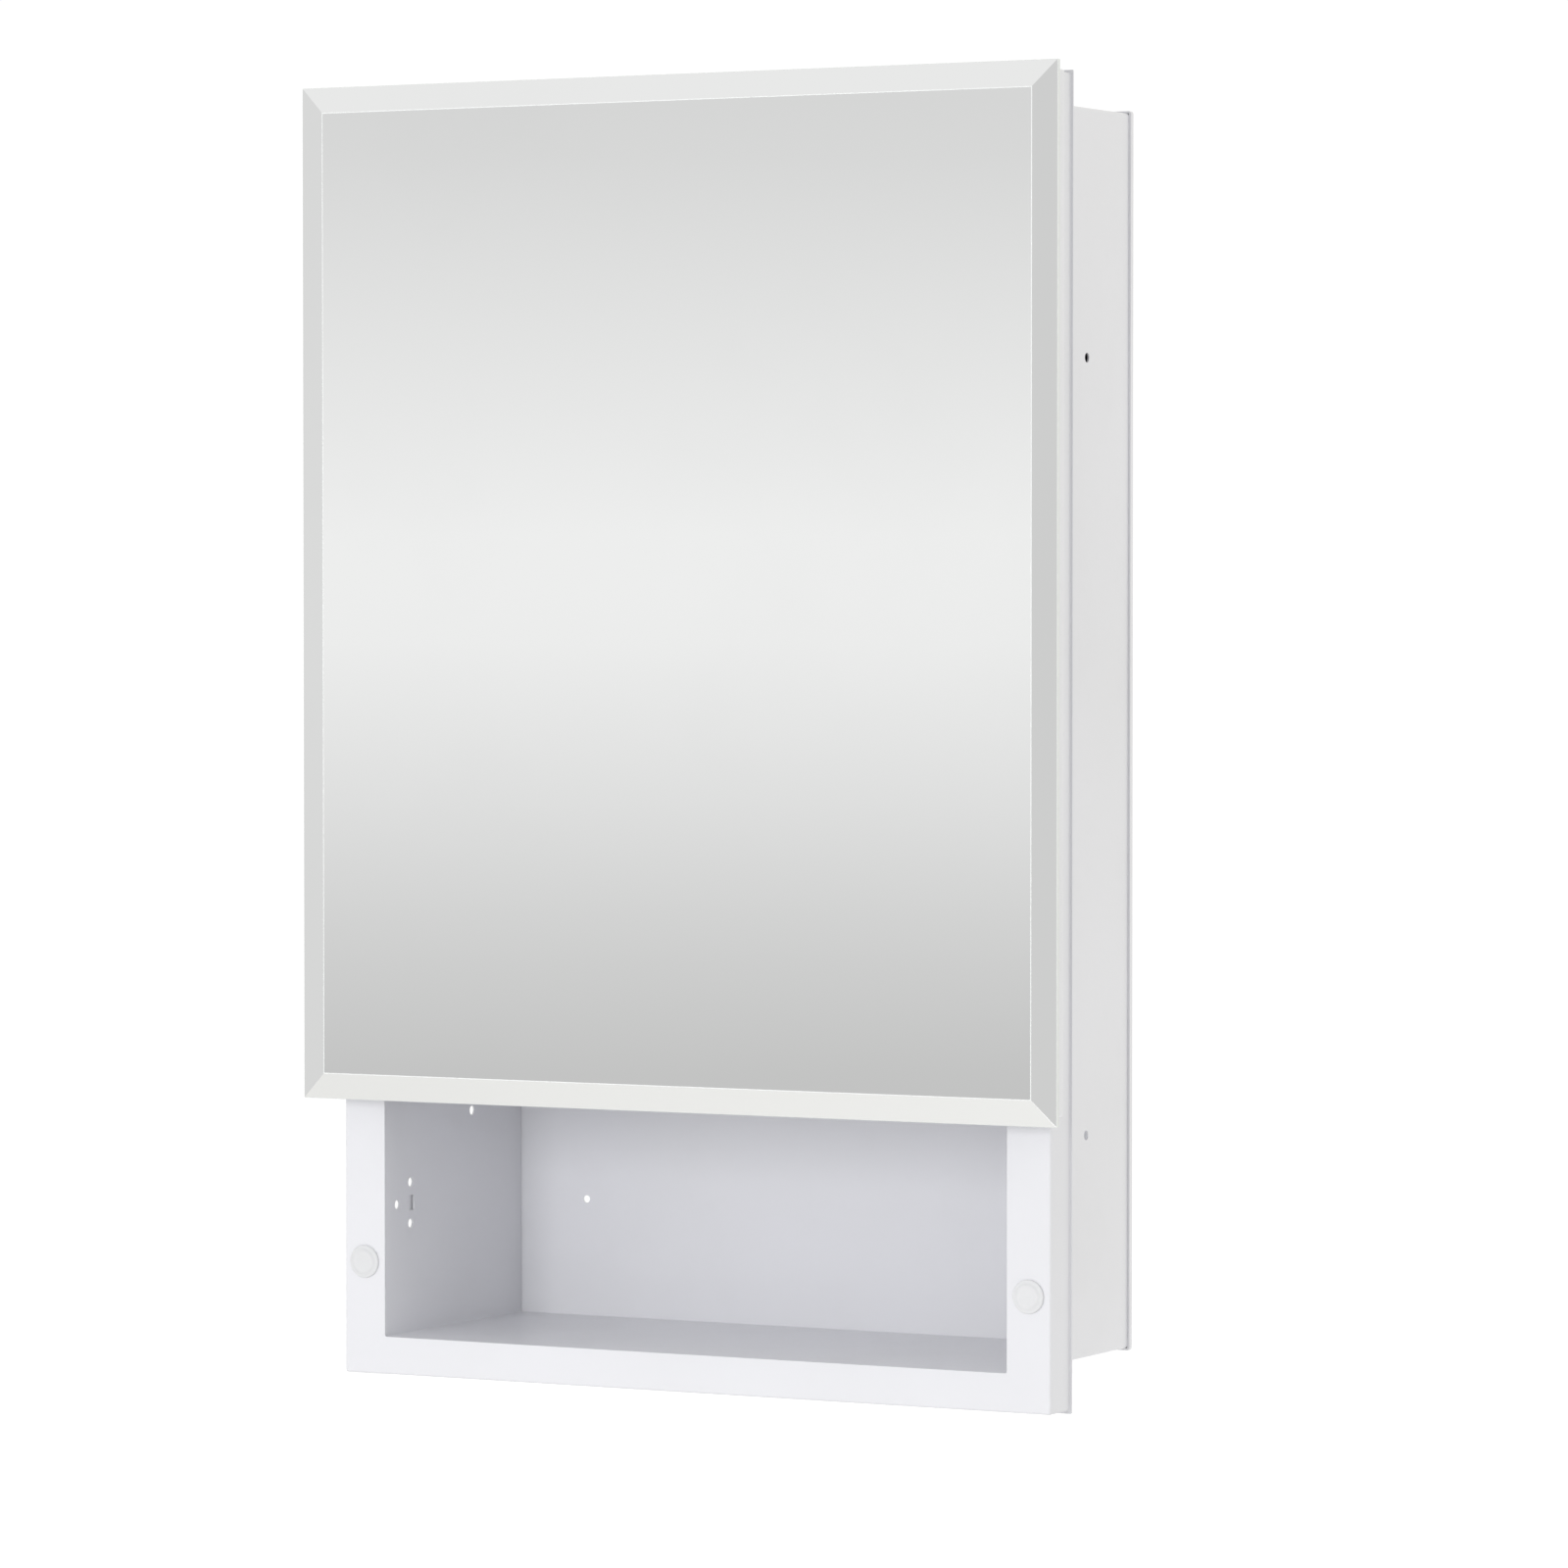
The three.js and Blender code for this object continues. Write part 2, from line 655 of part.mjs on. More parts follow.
// Silvered plate glass, its front edge ground to a wide flat bevel with mitred corners.
function mirrorGlass() {
  const ring = (half, low, high, y) => [[-half, low], [half, low], [half, high], [-half, high]]
    .map(([x, z]) => new THREE.Vector3(x, y, z));
  return toSolid(new ConvexGeometry([
    ...ring(doorHalf, doorLow, doorHigh, mirrorBack),
    ...ring(doorHalf, doorLow, doorHigh, mirrorFront + bevelDrop),
    ...ring(doorHalf - bevelWidth, doorLow + bevelWidth, doorHigh - bevelWidth, mirrorFront),
  ]));
}

function foamBoard() {
  const half = panHalf - panLip - foamMargin;
  return block([-half, paddingFront, panLow + panLip + foamMargin],
    [half, foamBack, panHigh - panLip - foamMargin]);
}

const tapeEdge = (panLip - tapeWidth) / 2;

function uprightTape(side) {
  const xs = [side * (panHalf - tapeEdge), side * (panHalf - tapeEdge - tapeWidth)];
  xs.sort((a, b) => a - b);
  return block([xs[0], paddingFront, panLow + panLip],
    [xs[1], paddingFront + tapeThickness, panHigh - panLip]);
}

function levelTape(low) {
  return block([-panHalf + tapeEdge, paddingFront, low],
    [panHalf - tapeEdge, paddingFront + tapeThickness, low + tapeWidth]);
}

// A soft dome that the door closes against.
function bumper(z) {
  const height = doorGap - 2 * gap;
  return turned([
    [0, 0],
    [bumperRadius, 0],
    [bumperRadius * 0.93, height * 0.55],
    [bumperRadius * 0.6, height * 0.9],
    [0, height],
  ], [plugX, panBack + gap, z], [0, 1, 0], sidesRound);
}

// ---------------------------------------------------------------- assembly

addPiece('front_frame', frontFrame(), enamel);
addPiece('cabinet_wrapper', cabinetWrapper(), enamel);
addPiece('back_panel', backPanel(), enamel);
addPiece('divider_shelf', dividerShelf(), enamel);

for (const [side, sideName] of [[-1, 'left'], [1, 'right']]) {
  addPiece(`hole_plug_${sideName}`, holePlug(side * plugX), whitePlastic);
  dividerRivetPlaces(side).forEach((place, i) => {
    const end = ['front', 'back'][i];
    addPiece(`divider_rivet_${sideName}_${end}`, rivet(place, [-side, 0, 0], bodySheet * 2 + gap), zinc);
  });
  shelfHeights().forEach((z, i) => {
    addPiece(`shelf_clip_${i + 1}_${sideName}`, shelfClip(side, z), clearPlastic);
    addPiece(`shelf_rest_${i + 1}_${sideName}`, shelfRest(side, z), enamel);
  });
}

shelfHeights().forEach((z, i) => addPiece(`glass_shelf_${i + 1}`, glassShelf(z), clearGlass));

addPiece('catch_housing', catchHousing(), whitePlastic);
addPiece('catch_magnet', catchMagnet(), ferrite);
addPiece('catch_pole_inner', polePlate(-1), zinc);
addPiece('catch_pole_outer', polePlate(1), zinc);
catchScrewHeights().forEach((z, i) => {
  addPiece(`catch_screw_${['lower', 'upper'][i]}`, catchScrew(z), zinc);
});

addPiece('hinge_leaf_frame', frameLeaf(), zinc);
addPiece('hinge_pin', rod('z', [hingeX, hingeY, 0], hingePinRadius, hingeLow, hingeHigh), zinc);
frameRivetPlaces().forEach((place, i) => {
  addPiece(`frame_rivet_${i + 1}`, rivet(place, [-1, 0, 0], hingeSheet + gap + frameSheet), zinc);
});

addPiece('hinge_leaf_door', doorLeaf(), zinc);
doorRivetPlaces().forEach((place, i) => {
  addPiece(`door_rivet_${i + 1}`, rivet(place, [0, 1, 0], hingeSheet + gap + panSheet), zinc);
});
addPiece('door_pan', doorPan(), enamel);
addPiece('mirror_glass', mirrorGlass(), silver);
addPiece('foam_board', foamBoard(), foam);
addPiece('mirror_tape_left', uprightTape(-1), tape);
addPiece('mirror_tape_right', uprightTape(1), tape);
addPiece('mirror_tape_bottom', levelTape(panLow + tapeEdge), tape);
addPiece('mirror_tape_top', levelTape(panHigh - tapeEdge - tapeWidth), tape);
addPiece('strike_plate', strikePlate(), zinc);
strikeRivetPlaces().forEach((place, i) => {
  addPiece(`strike_rivet_${['lower', 'upper'][i]}`,
    rivet(place, [0, 1, 0], strikeThickness + gap + panSheet), zinc);
});
[doorLow + bumperEdge, doorHigh - bumperEdge].forEach((z, i) => {
  addPiece(`door_bumper_${['lower', 'upper'][i]}`, bumper(z), clearPlastic);
});

// The origin goes to the middle of the back panel's outer face.
cabinet.position.set(0, -bodyDepth, -(wrapperLow + wrapperHigh) / 2);

export default cabinet;
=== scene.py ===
# A recessed bathroom cabinet of white enamelled steel. A bevelled mirror door hangs on a
# full-height hinge over the shelves, and an open niche is left below it. X runs to the
# right, Y into the wall and Z up, in metres, from the middle of the back's outer face.
from math import atan2, cos, pi, radians, sin

import bmesh
import bpy
from mathutils import Matrix, Vector


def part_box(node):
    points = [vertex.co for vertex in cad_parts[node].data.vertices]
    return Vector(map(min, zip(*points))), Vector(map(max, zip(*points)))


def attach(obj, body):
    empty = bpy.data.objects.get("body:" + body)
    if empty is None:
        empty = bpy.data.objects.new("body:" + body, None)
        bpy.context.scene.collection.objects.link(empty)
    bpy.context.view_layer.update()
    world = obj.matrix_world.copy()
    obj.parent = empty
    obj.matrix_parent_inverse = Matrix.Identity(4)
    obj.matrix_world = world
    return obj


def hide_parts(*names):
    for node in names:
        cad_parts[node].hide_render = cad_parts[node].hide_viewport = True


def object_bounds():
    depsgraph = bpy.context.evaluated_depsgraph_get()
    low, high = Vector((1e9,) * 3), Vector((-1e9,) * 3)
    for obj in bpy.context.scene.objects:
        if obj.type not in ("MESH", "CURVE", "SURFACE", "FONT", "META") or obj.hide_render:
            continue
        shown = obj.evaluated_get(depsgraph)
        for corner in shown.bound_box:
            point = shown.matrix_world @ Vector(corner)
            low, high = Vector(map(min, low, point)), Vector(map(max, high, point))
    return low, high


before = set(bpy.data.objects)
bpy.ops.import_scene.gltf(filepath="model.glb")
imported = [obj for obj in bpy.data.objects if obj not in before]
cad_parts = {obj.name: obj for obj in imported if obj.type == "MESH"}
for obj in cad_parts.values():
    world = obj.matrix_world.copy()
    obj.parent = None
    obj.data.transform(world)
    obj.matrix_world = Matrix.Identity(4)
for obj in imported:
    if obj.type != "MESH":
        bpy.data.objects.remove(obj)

MM = 0.001
cad_low, cad_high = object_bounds()


# --- Studio -------------------------------------------------------------------------
# The cabinet hangs over a pale floor inside a bright, even studio. A long lens looks at
# it from the right, slightly from above, and broad soft lamps light its front.
view_azimuth = radians(28.6)
view_drop = radians(1.25)
view_distance = 3.5
lens_length = 158.4
aim_right = 0.0381
aim_down = 0.0226

mirror_low, mirror_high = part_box("mirror_glass")
frame_low, frame_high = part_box("front_frame")

pivot = Vector((0.0, frame_high.y, (frame_low.z + frame_high.z) / 2))
look = Vector((-sin(view_azimuth) * cos(view_drop), cos(view_azimuth) * cos(view_drop), -sin(view_drop)))
view_right = Vector((cos(view_azimuth), sin(view_azimuth), 0.0))
view_up = view_right.cross(look)
camera_data = bpy.data.cameras.new("studio_camera")
camera_data.lens = lens_length
camera_data.sensor_width = 36.0
camera_data.clip_end = 60.0
camera = bpy.data.objects.new("studio_camera", camera_data)
camera.location = pivot - look * view_distance
target = pivot + view_right * aim_right - view_up * aim_down
camera.rotation_euler = (target - camera.location).to_track_quat("-Z", "Y").to_euler()
bpy.context.collection.objects.link(camera)
scene = bpy.context.scene
scene.camera = camera
scene.view_settings.view_transform = "Standard"


def softbox(name, azimuth, height, distance, size, power):
    """A square soft lamp that faces the cabinet from a bearing, with 0 straight in front."""
    lamp_data = bpy.data.lights.new(name, "AREA")
    lamp_data.shape = "SQUARE"
    lamp_data.size = size
    lamp_data.energy = power
    lamp = bpy.data.objects.new(name, lamp_data)
    bearing = radians(azimuth)
    rise = radians(height)
    away = Vector((sin(bearing) * cos(rise), -cos(bearing) * cos(rise), sin(rise)))
    lamp.location = pivot + away * distance
    lamp.rotation_euler = (-away).to_track_quat("-Z", "Y").to_euler()
    bpy.context.collection.objects.link(lamp)
    return lamp


front_lamp = softbox("front_softbox", azimuth=-3, height=3, distance=2.6, size=0.9, power=24.5)
front_lamp.visible_glossy = False
softbox("top_softbox", azimuth=20, height=62, distance=2.6, size=1.2, power=1)

floor_drop = 0.24
floor_radius = 2.2
floor_mesh = bmesh.new()
bmesh.ops.create_circle(floor_mesh, cap_ends=True, segments=96, radius=floor_radius)
floor_data = bpy.data.meshes.new("studio_floor")
floor_mesh.to_mesh(floor_data)
floor_mesh.free()
floor = bpy.data.objects.new("studio_floor", floor_data)
floor.location = (0.0, pivot.y, cad_low.z - floor_drop)
bpy.context.collection.objects.link(floor)


def add_node(tree, kind, links=None, **values):
    """A node with its inputs set by name, each to a plain value or to another node's output."""
    node = tree.nodes.new(kind)
    for name, value in values.items():
        setattr(node, name, value)
    for label, value in (links or {}).items():
        socket = node.inputs[label]
        if isinstance(value, bpy.types.NodeSocket):
            tree.links.new(value, socket)
        else:
            socket.default_value = value
    return node


def new_finish(name, **constants):
    """A material, its node tree, its Principled BSDF and the object's own coordinates."""
    material = bpy.data.materials.new(name)
    material.use_nodes = True
    tree = material.node_tree
    surface = tree.nodes["Principled BSDF"]
    for label, value in constants.items():
        surface.inputs[label.replace("_", " ")].default_value = value
    place = tree.nodes.new("ShaderNodeTexCoord").outputs["Object"]
    return material, tree, surface, place


def blend_colours(tree, factor, first, second):
    """A colour between two, by a mask."""
    node = add_node(tree, "ShaderNodeMix", {"Factor": factor}, data_type="RGBA")
    for socket, value in ((node.inputs["A"], first), (node.inputs["B"], second)):
        if isinstance(value, bpy.types.NodeSocket):
            tree.links.new(value, socket)
        else:
            socket.default_value = value
    return node.outputs["Result"]


def ramp(tree, value, stops, low=-1.0, high=1.0):
    """Greys that follow a value: the stops are (value, grey), from low to high values."""
    share = add_node(tree, "ShaderNodeMapRange", {"Value": value, "From Min": low, "From Max": high})
    node = add_node(tree, "ShaderNodeValToRGB", {"Fac": share.outputs["Result"]})
    elements = node.color_ramp.elements
    while len(elements) > 1:
        elements.remove(elements[-1])
    for i, (stop, grey) in enumerate(stops):
        place = (stop - low) / (high - low)
        element = elements[0] if i == 0 else elements.new(place)
        element.position = place
        element.color = (grey, grey, grey, 1.0)
    return node.outputs["Color"]


# The floor glows a little, more behind the cabinet than in front, to meet the white wall.
floor_grey = (0.6, 0.6, 0.6, 1.0)
floor_paint, tree, surface, place = new_finish(
    "studio_floor_paint", Base_Color=floor_grey, Roughness=0.9, Emission_Strength=0.8)
floor_axes = add_node(tree, "ShaderNodeSeparateXYZ", {0: place}).outputs
floor_glow = ramp(tree, floor_axes["Y"], [
    (-2.1, 0.8), (-1.5, 0.3), (0.1, 0.3), (0.9, 0.8)], -floor_radius, floor_radius)
tree.links.new(floor_glow, surface.inputs["Emission Color"])
floor_data.materials.append(floor_paint)

# The studio's walls: white where the camera sees them. The light they cast is brightest
# at eye level in front, falls off below that, and is softer from the sides and behind.
rear_light = (1.03, 1.02, 0.972, 1.0)
wall_white = (1.03, 1.03, 1.03, 1.0)
world = bpy.data.worlds.new("studio")
scene.world = world
world.use_nodes = True
sky = world.node_tree
sky_direction = sky.nodes.new("ShaderNodeTexCoord").outputs["Generated"]
sky_axes = add_node(sky, "ShaderNodeSeparateXYZ", {0: sky_direction}).outputs
height_tone = ramp(sky, sky_axes["Z"], [
    (-0.40, 0.86), (-0.16, 0.56), (-0.073, 0.595), (-0.051, 0.695), (-0.030, 0.82), (-0.008, 0.93),
    (0.006, 0.95), (0.042, 0.83), (0.066, 0.742), (0.12, 0.74), (0.30, 0.90), (0.42, 0.88),
    (0.60, 0.48), (1.0, 0.4)])
side_tone = ramp(sky, sky_axes["X"], [
    (-0.9, 0.80), (-0.72, 0.755), (-0.5, 0.80), (-0.2, 0.68), (0.0, 0.68), (0.3, 0.72), (0.6, 0.80),
    (0.9, 0.80)])
band = ramp(sky, sky_axes["X"], [
    (-0.80, 0.15), (-0.66, 0.0), (-0.60, 1.0), (-0.36, 1.0), (-0.28, 0.0), (-0.13, 0.0),
    (-0.08, 0.8), (0.3, 0.3)])
rear_mask = ramp(sky, sky_axes["Y"], [(-0.25, 0.0), (0.05, 1.0)])
front_tone = blend_colours(sky, band, side_tone, height_tone)
cast_tone = blend_colours(sky, rear_mask, front_tone, rear_light)
camera_ray = sky.nodes.new("ShaderNodeLightPath").outputs["Is Camera Ray"]
seen_tone = blend_colours(sky, camera_ray, cast_tone, wall_white)
sky.links.new(seen_tone, sky.nodes["Background"].inputs["Color"])


# --- Face frame ---------------------------------------------------------------------
# One sheet of steel 0.9 mm thick: a flat face round the opening, sides folded back to
# the wall and a narrow lip turned out where they meet it, all baked with white enamel.
def effect(name, inputs, outputs):
    """An empty node group with named inputs (name, default) and outputs (name, type)."""
    group = bpy.data.node_groups.new(name, "ShaderNodeTree")
    for label, value in inputs:
        kind = "NodeSocketVector" if isinstance(value, tuple) else "NodeSocketFloat"
        socket = group.interface.new_socket(name=label, in_out="INPUT", socket_type=kind)
        socket.default_value = value
    for label, kind in outputs:
        group.interface.new_socket(name=label, in_out="OUTPUT", socket_type=kind)
    start = group.nodes.new("NodeGroupInput")
    end = group.nodes.new("NodeGroupOutput")
    return group, start, end


def arithmetic(tree, operation, first, second):
    """The output of a two-input maths node."""
    return add_node(tree, "ShaderNodeMath", {0: first, 1: second}, operation=operation).outputs[0]


def noise(tree, place, scale, detail=2.0, roughness=0.5):
    """Cloudy noise at a scale given in ripples per metre."""
    links = {"Vector": place, "Scale": scale, "Detail": detail, "Roughness": roughness}
    return add_node(tree, "ShaderNodeTexNoise", links).outputs["Fac"]


# Sprayed skin: fine orange peel and a slow waviness in the sheet, in metres of relief.
peel_group, peel_in, peel_out = effect(
    "sprayed skin",
    [("Place", (0.0, 0.0, 0.0)), ("Peel Scale", 420.0), ("Peel Depth", 0.00003),
     ("Wave Scale", 9.0), ("Wave Depth", 0.0002)],
    [("Relief", "NodeSocketFloat"), ("Mottle", "NodeSocketFloat")])
peel = noise(peel_group, peel_in.outputs["Place"], peel_in.outputs["Peel Scale"], detail=1.5)
wave = noise(peel_group, peel_in.outputs["Place"], peel_in.outputs["Wave Scale"], detail=1.0)
peel_relief = arithmetic(peel_group, "MULTIPLY", peel, peel_in.outputs["Peel Depth"])
wave_relief = arithmetic(peel_group, "MULTIPLY", wave, peel_in.outputs["Wave Depth"])
peel_group.links.new(arithmetic(peel_group, "ADD", peel_relief, wave_relief), peel_out.inputs["Relief"])
peel_group.links.new(wave, peel_out.inputs["Mottle"])

# Edge finder: 1 along sharp outer and inner edges and 0 on open faces.
edge_group, edge_in, edge_out = effect(
    "edge finder", [("Width", 0.001), ("Strength", 4.0)], [("Edge", "NodeSocketFloat")])
rounded = add_node(edge_group, "ShaderNodeBevel", {"Radius": edge_in.outputs["Width"]}, samples=4)
true_normal = edge_group.nodes.new("ShaderNodeNewGeometry")
agreement = add_node(edge_group, "ShaderNodeVectorMath", {
    0: rounded.outputs["Normal"], 1: true_normal.outputs["Normal"]}, operation="DOT_PRODUCT")
bend = arithmetic(edge_group, "SUBTRACT", 1.0, agreement.outputs["Value"])
edge_strength = add_node(edge_group, "ShaderNodeMath", {
    0: bend, 1: edge_in.outputs["Strength"]}, operation="MULTIPLY", use_clamp=True)
edge_group.links.new(edge_strength.outputs[0], edge_out.inputs["Edge"])

# Handling: soft smudges where hands and cloths have been, and a sparse fine dust that
# lies on faces turned up.
touch_group, touch_in, touch_out = effect(
    "handling", [("Place", (0.0, 0.0, 0.0)), ("Smudge Scale", 14.0), ("Dust Scale", 900.0)],
    [("Smudge", "NodeSocketFloat"), ("Dust", "NodeSocketFloat")])
smear = noise(touch_group, touch_in.outputs["Place"], touch_in.outputs["Smudge Scale"], detail=5.0,
              roughness=0.62)
smudge = add_node(touch_group, "ShaderNodeMapRange", {
    "Value": smear, "From Min": 0.5, "From Max": 0.78})
speck = noise(touch_group, touch_in.outputs["Place"], touch_in.outputs["Dust Scale"], roughness=0.7)
specks = add_node(touch_group, "ShaderNodeMapRange", {
    "Value": speck, "From Min": 0.58, "From Max": 0.70}).outputs["Result"]
face_normal = touch_group.nodes.new("ShaderNodeNewGeometry").outputs["Normal"]
face_up = add_node(touch_group, "ShaderNodeSeparateXYZ", {0: face_normal}).outputs["Z"]
lying = add_node(touch_group, "ShaderNodeMapRange", {"Value": face_up, "From Min": 0.2, "From Max": 0.9})
dust = arithmetic(touch_group, "MULTIPLY", specks, lying.outputs["Result"])
touch_group.links.new(smudge.outputs["Result"], touch_out.inputs["Smudge"])
touch_group.links.new(dust, touch_out.inputs["Dust"])


def place_effect(tree, group, **values):
    """Puts a node group in a material, with values for some of its inputs."""
    node = tree.nodes.new("ShaderNodeGroup")
    node.node_tree = group
    for label, value in values.items():
        socket = node.inputs[label.replace("_", " ")]
        if isinstance(value, bpy.types.NodeSocket):
            tree.links.new(value, socket)
        else:
            socket.default_value = value
    return node.outputs


def spread(tree, mask, low, high):
    """A mask from 0 to 1 turned into values from low to high."""
    return add_node(tree, "ShaderNodeMapRange", {
        "Value": mask, "To Min": low, "To Max": high}).outputs["Result"]


def colour_by(tree, surface, mask, first, second):
    """Colours the surface from one colour to another by a mask."""
    tree.links.new(blend_colours(tree, mask, first, second), surface.inputs["Base Color"])


def roughen_by(tree, surface, mask, low, high):
    """Sets the surface's roughness from low to high by a mask."""
    tree.links.new(spread(tree, mask, low, high), surface.inputs["Roughness"])


def raise_bump(tree, surface, relief):
    """Feeds a relief in metres into the surface's normal."""
    bump = add_node(tree, "ShaderNodeBump", {"Height": relief, "Strength": 1.0, "Distance": 1.0})
    tree.links.new(bump.outputs["Normal"], surface.inputs["Normal"])


enamel_white = (0.80, 0.803, 0.842, 1.0)
# A greyer enamel: the tone of the mottle, and along edges both thin enamel on outer edges and painted shade
# in inner creases.
enamel_mottle_and_crease_shade = (0.73, 0.733, 0.75, 1.0)
enamel_touched = (0.72, 0.722, 0.745, 1.0)
settled_dust = (0.66, 0.65, 0.63, 1.0)
enamel, tree, surface, place = new_finish(
    "white_enamel", Coat_Weight=0.25, Coat_Roughness=0.12, Specular_IOR_Level=0.45)
skin = place_effect(tree, peel_group, Place=place)
edge = place_effect(tree, edge_group, Width=0.0009, Strength=2.2)
touch = place_effect(tree, touch_group, Place=place, Smudge_Scale=11.0)
mottled = blend_colours(tree, spread(tree, skin["Mottle"], 0.0, 0.6), enamel_white, enamel_mottle_and_crease_shade)
# Darker along sharp edges: thin enamel on the outer edges, and painted shade in the inner creases.
thin_edge_and_crease_shade = blend_colours(tree, spread(tree, edge["Edge"], 0.0, 0.5), mottled, enamel_mottle_and_crease_shade)
smudged = blend_colours(tree, spread(tree, touch["Smudge"], 0.0, 0.3), thin_edge_and_crease_shade, enamel_touched)
colour_by(tree, surface, spread(tree, touch["Dust"], 0.0, 0.4), smudged, settled_dust)
roughen_by(tree, surface, touch["Smudge"], 0.30, 0.38)
raise_bump(tree, surface, skin["Relief"])

steel_sheet = 0.9 * MM
face_bend = 1.3 * MM
corner_steps = 6
tightest_corner = 0.2 * MM
smooth_limit = 32
frame_face = frame_low.y
side_lip = 1.5 * MM
stile_width = 24 * MM
bottom_rail = 19.5 * MM
top_rail = 13 * MM


def outline(low, high, corner, depth):
    """A ring of points: a rectangle in the XZ plane with round corners, at a depth."""
    (x0, z0), (x1, z1) = low, high
    centres = [(x1 - corner, z1 - corner), (x0 + corner, z1 - corner),
               (x0 + corner, z0 + corner), (x1 - corner, z0 + corner)]
    ring = []
    for quarter, (x, z) in enumerate(centres):
        for step in range(corner_steps + 1):
            angle = (quarter + step / corner_steps) * pi / 2
            ring.append((x + corner * cos(angle), depth, z + corner * sin(angle)))
    return ring


def grow(low, high, corner, reach, depth):
    """The same outline grown outward by a reach, or shrunk where that is negative."""
    (x0, z0), (x1, z1) = low, high
    turn = max(corner + reach, tightest_corner)
    return outline((x0 - reach, z0 - reach), (x1 + reach, z1 + reach), turn, depth)


def add_piece(name, mesh, finishes, smooth_angle=smooth_limit):
    """Turns a bmesh into a linked object with smooth shading up to an angle."""
    bmesh.ops.recalc_face_normals(mesh, faces=mesh.faces)
    data = bpy.data.meshes.new(name)
    mesh.to_mesh(data)
    mesh.free()
    for finish in finishes:
        data.materials.append(finish)
    data.shade_smooth()
    data.set_sharp_from_angle(angle=radians(smooth_angle))
    piece = bpy.data.objects.new(name, data)
    bpy.context.collection.objects.link(piece)
    return piece


def loft(rings, closed):
    """A bmesh skin through rings of points; a closed one joins the last to the first, and
    an open one has a flat cap on each end."""
    mesh = bmesh.new()
    rows = [[mesh.verts.new(point) for point in ring] for ring in rings]
    pairs = list(zip(rows, rows[1:]))
    if closed:
        pairs.append((rows[-1], rows[0]))
    for near, far in pairs:
        count = len(near)
        for i in range(count):
            j = (i + 1) % count
            mesh.faces.new((near[i], near[j], far[j], far[i]))
    if not closed:
        mesh.faces.new(rows[0])
        mesh.faces.new(rows[-1])
    return mesh


def quarter_bend(radius, steps=5):
    """Steps round a quarter bend as (across, along) from (0, 0) to (radius, radius)."""
    return [(radius * sin(i / steps * pi / 2), radius * (1 - cos(i / steps * pi / 2)))
            for i in range(steps + 1)]


def stand_in(piece, body, slot, *nodes):
    """The piece rides on its body and replaces CAD nodes. The slot is not used."""
    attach(piece, body)
    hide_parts(*nodes)


outer_low = (frame_low.x + side_lip, frame_low.z + side_lip)
outer_high = (frame_high.x - side_lip, frame_high.z - side_lip)
inner_low = (outer_low[0] + stile_width, outer_low[1] + bottom_rail)
inner_high = (outer_high[0] - stile_width, outer_high[1] - top_rail)
opening_corner = 1.1 * MM
outer_corner = 1.2 * MM
cut_round = 0.25 * MM
cut_chamfer = 0.2 * MM
fold_inside = 0.3 * MM
lip_bend = 0.7 * MM

frame_rings = [grow(inner_low, inner_high, opening_corner, 0.0, frame_face + steel_sheet)]
frame_rings += [grow(inner_low, inner_high, opening_corner, along, frame_face + cut_round - across)
                for across, along in quarter_bend(cut_round, 3)]
frame_rings += [grow(outer_low, outer_high, outer_corner, across - face_bend, frame_face + along)
                for across, along in quarter_bend(face_bend)]
lip_front = frame_high.y - steel_sheet
frame_rings += [grow(outer_low, outer_high, outer_corner, along, lip_front - lip_bend + across)
                for across, along in quarter_bend(lip_bend, 4)]
rim = ((frame_low.x, frame_low.z), (frame_high.x, frame_high.z))
rim_corner = 0.6 * MM
frame_rings += [grow(*rim, rim_corner, -cut_chamfer, lip_front),
                grow(*rim, rim_corner, 0.0, lip_front + cut_chamfer),
                grow(*rim, rim_corner, 0.0, frame_high.y - cut_chamfer),
                grow(*rim, rim_corner, -cut_chamfer, frame_high.y),
                grow(outer_low, outer_high, outer_corner, fold_inside - steel_sheet, frame_high.y),
                grow(outer_low, outer_high, outer_corner, -steel_sheet, frame_high.y - fold_inside),
                grow(outer_low, outer_high, outer_corner, -steel_sheet, frame_face + steel_sheet)]
face_frame = add_piece("face_frame", loft(frame_rings, True), [enamel])


def drill(piece, holes, sides=24):
    """Cuts round holes through a piece: each is (axis, centre, radius, length)."""
    cutters = bmesh.new()
    turns = {"x": Matrix.Rotation(pi / 2, 4, "Y"), "y": Matrix.Rotation(pi / 2, 4, "X"), "z": Matrix()}
    for axis, centre, radius, length in holes:
        place = Matrix.Translation(centre) @ turns[axis]
        bmesh.ops.create_cone(cutters, cap_ends=True, segments=sides, radius1=radius, radius2=radius,
                              depth=length, matrix=place)
    carve(piece, cutters)


def carve(piece, cutters):
    """Cuts the cutters' closed shapes out of the piece."""
    data = bpy.data.meshes.new("cutters")
    cutters.to_mesh(data)
    cutters.free()
    tool = bpy.data.objects.new("cutters", data)
    bpy.context.collection.objects.link(tool)
    cut = piece.modifiers.new("cut", "BOOLEAN")
    cut.object = tool
    cut.solver = "EXACT"
    graph = bpy.context.evaluated_depsgraph_get()
    carved = bpy.data.meshes.new_from_object(piece.evaluated_get(graph))
    piece.modifiers.clear()
    whole = piece.data
    piece.data = carved
    bpy.data.meshes.remove(whole)
    bpy.data.objects.remove(tool)
    carved.shade_smooth()
    carved.set_sharp_from_angle(angle=radians(smooth_limit))


plug_hole = 6.35 * MM
plug_play = 0.3 * MM
plug_hole_sides = 32
sheet_cut = 6 * MM
plug_boxes = [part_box(f"hole_plug_{side}") for side in ("left", "right")]
plug_places = [Vector(((low.x + high.x) / 2, frame_face, (low.z + high.z) / 2)) for low, high in plug_boxes]
drill(face_frame, [("y", place, plug_hole, sheet_cut) for place in plug_places], plug_hole_sides)
stand_in(face_frame, "cabinet", "white_enamel", "front_frame")


